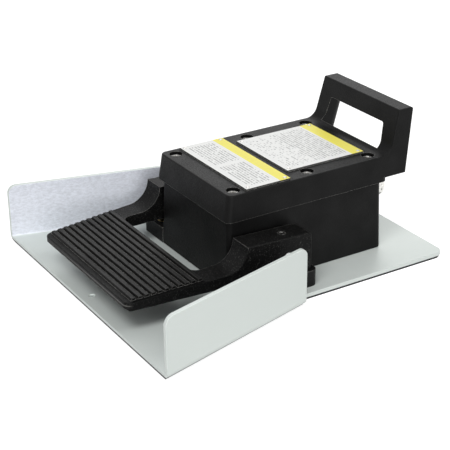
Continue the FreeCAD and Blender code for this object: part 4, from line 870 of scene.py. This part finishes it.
class PEDAL_OT_finish_mechanism(bpy.types.Operator):
    """Finish the gears, switch, potentiometer, terminals and small screws"""

    bl_idname = "pedal.finish_mechanism"
    bl_label = "Finish Mechanism"

    def execute(self, context):
        finishes = context.scene.pedal_finishes
        milled = (1.0, 5.0, 1.0)
        aluminium = machined_metal("machined_aluminium", finishes.gear, gloss=0.32, grain_scale=1500.0,
                                   drawn=milled)
        brass = machined_metal("machined_brass", finishes.brass, gloss=0.26, grain_scale=1800.0)
        spindle = machined_metal("ground_spindle_steel", finishes.shaft, gloss=0.24, grain_scale=1700.0,
                                 drawn=TURNED)
        zinc = machined_metal("zinc_plate", finishes.zinc, gloss=0.34, grain_scale=900.0)
        screws = machined_metal("plated_small_screws", finishes.screw, gloss=0.30, grain_scale=2400.0)
        dress(aluminium, "drive_sector", "switch_finger")
        dress(brass, "drive_pinion")
        dress(spindle, "pot_spindle")
        dress(zinc, "pot_bracket", "switch_bracket", "pot_nut")
        dress(screws, "base_screws", "bracket_screws", "switch_screws", "terminal_screws", "sector_set_screw",
              "finger_set_screw")
        dress(moulded_plastic("black_moulding", finishes.black_plastic), "pot_body", "switch_body")
        dress(moulded_plastic("red_moulding", finishes.red_plastic), "switch_plunger")
        dress(moulded_plastic("pale_moulding", finishes.pale_plastic), "terminal_block")
        return {"FINISHED"}


def seen_directly(tree):
    """A value that is 1 for rays from the camera, from gloss and through clear pieces."""
    rays = put(tree, "ShaderNodeLightPath").outputs
    either = maths(tree, "MAXIMUM", rays["Is Camera Ray"], rays["Is Glossy Ray"])
    return maths(tree, "MAXIMUM", either, rays["Is Transmission Ray"])


class PEDAL_OT_set_stage(bpy.types.Operator):
    """Set the white floor, the soft lamps and the camera"""

    bl_idname = "pedal.set_stage"
    bl_label = "Set Stage"

    def execute(self, context):
        scene = context.scene
        stage = scene.pedal_stage
        self.lay_floor(scene, stage)
        self.fill_room(scene, stage)
        self.hang_softbox(scene, "high_softbox", stage.high_power, place=(0.9, -1.3, 2.5), size=1.2)
        self.hang_softbox(scene, "low_softbox", stage.low_power, place=(2.4, -0.9, 0.45), size=1.2)
        self.hang_softbox(scene, "sheen_softbox", stage.sheen_power, place=(-1.15, 0.74, 0.72), size=0.8)
        self.hang_softbox(scene, "rim_softbox", stage.rim_power, place=(0.56, 0.62, 1.0), size=0.4)
        self.place_camera(scene, stage)
        scene.view_settings.view_transform = "Standard"
        return {"FINISHED"}

    def lay_floor(self, scene, stage):
        """A broad white floor that keeps the pedal's shadow."""
        half = 4.0
        below = -0.0001
        dull_white = (0.44, 0.44, 0.44)
        pale_white = (0.47, 0.47, 0.47)
        corners = [(-half, -half, below), (half, -half, below), (half, half, below), (-half, half, below)]
        mesh = bpy.data.meshes.new("studio_floor")
        mesh.from_pydata(corners, [], [(0, 1, 2, 3)])
        material, tree, shader, place = start_finish("white_studio_floor")
        shade = noise(tree, place, scale=6.0, detail=2.0)
        tree.links.new(mixed(tree, shade, dull_white, pale_white), shader.inputs["Base Color"])
        shader.inputs["Roughness"].default_value = 0.9
        shader.inputs["Specular IOR Level"].default_value = 0.1
        shader.inputs["Emission Color"].default_value = (1.0, 1.0, 1.0, 1.0)
        glow = maths(tree, "MULTIPLY", seen_directly(tree), stage.floor_level)
        tree.links.new(glow, shader.inputs["Emission Strength"])
        mesh.materials.append(material)
        floor = bpy.data.objects.new("studio_floor", mesh)
        scene.collection.objects.link(floor)

    def fill_room(self, scene, stage):
        """Even light from all round, white where it is seen."""
        world = bpy.data.worlds.new("studio_room")
        world.use_nodes = True
        tree = world.node_tree
        tree.nodes.clear()
        white = (1.0, 1.0, 1.0, 1.0)
        soft = put(tree, "ShaderNodeBackground", {"Color": white, "Strength": stage.room_level})
        bright = put(tree, "ShaderNodeBackground", {"Color": white, "Strength": 1.0})
        levels = {0: seen_directly(tree), 1: soft.outputs[0], 2: bright.outputs[0]}
        choice = put(tree, "ShaderNodeMixShader", levels)
        put(tree, "ShaderNodeOutputWorld", {"Surface": choice.outputs[0]})
        scene.world = world

    def hang_softbox(self, scene, name, power, place, size):
        """A square softbox that faces the pedal."""
        lamp = bpy.data.lights.new(name, "AREA")
        lamp.size = size
        lamp.energy = power
        box = bpy.data.objects.new(name, lamp)
        box.location = place
        box.rotation_euler = Vector(place).to_track_quat("Z", "Y").to_euler()
        scene.collection.objects.link(box)

    def place_camera(self, scene, stage):
        """A long lens at the photograph's angle."""
        turn = stage.azimuth
        lift = stage.elevation
        right = Vector((math.cos(turn), math.sin(turn), 0.0))
        back = Vector((math.sin(turn) * math.cos(lift), -math.cos(turn) * math.cos(lift), math.sin(lift)))
        up = back.cross(right)
        across = math.cos(stage.roll) * right + math.sin(stage.roll) * up
        upward = -math.sin(stage.roll) * right + math.cos(stage.roll) * up
        lens = bpy.data.cameras.new("studio_camera")
        lens.sensor_width = 36.0
        lens.lens = stage.lens
        lens.clip_start = 0.01
        camera = bpy.data.objects.new("studio_camera", lens)
        axes = Matrix((across, upward, back)).transposed().to_4x4()
        camera.matrix_world = Matrix.Translation(stage.eye) @ axes
        scene.collection.objects.link(camera)
        scene.camera = camera


MAKERS = (
    PEDAL_OT_paint_castings,
    PEDAL_OT_finish_floor_plate,
    PEDAL_OT_lay_rubber,
    PEDAL_OT_print_labels,
    PEDAL_OT_set_rivets,
    PEDAL_OT_fit_lid_screws,
    PEDAL_OT_fit_shaft,
    PEDAL_OT_wind_springs,
    PEDAL_OT_fit_gland,
    PEDAL_OT_finish_mechanism,
    PEDAL_OT_set_stage,
)


class PEDAL_PT_workshop(bpy.types.Panel):
    """Lists the pedal's makers and the values that they use"""

    bl_idname = "PEDAL_PT_workshop"
    bl_label = "Foot Pedal"
    bl_space_type = "VIEW_3D"
    bl_region_type = "UI"
    bl_category = "Foot Pedal"

    def draw(self, context):
        layout = self.layout
        for maker in MAKERS:
            layout.operator(maker.bl_idname)
        for values in (context.scene.pedal_finishes, context.scene.pedal_hardware, context.scene.pedal_stage):
            box = layout.box()
            for name in values.__annotations__:
                box.prop(values, name)


CLASSES = (PedalFinishes, PedalHardware, PedalStage, *MAKERS, PEDAL_PT_workshop)


def register():
    """Add the classes and their values to the scene."""
    for item in CLASSES:
        bpy.utils.register_class(item)
    bpy.types.Scene.pedal_finishes = PointerProperty(type=PedalFinishes)
    bpy.types.Scene.pedal_hardware = PointerProperty(type=PedalHardware)
    bpy.types.Scene.pedal_stage = PointerProperty(type=PedalStage)


def unregister():
    """Take the classes and their values away again."""
    del bpy.types.Scene.pedal_stage
    del bpy.types.Scene.pedal_hardware
    del bpy.types.Scene.pedal_finishes
    for item in reversed(CLASSES):
        bpy.utils.unregister_class(item)


def main():
    """Make every piece in order."""
    register()
    for maker in MAKERS:
        group, action = maker.bl_idname.split(".")
        getattr(getattr(bpy.ops, group), action)()


if __name__ == "__main__":
    main()
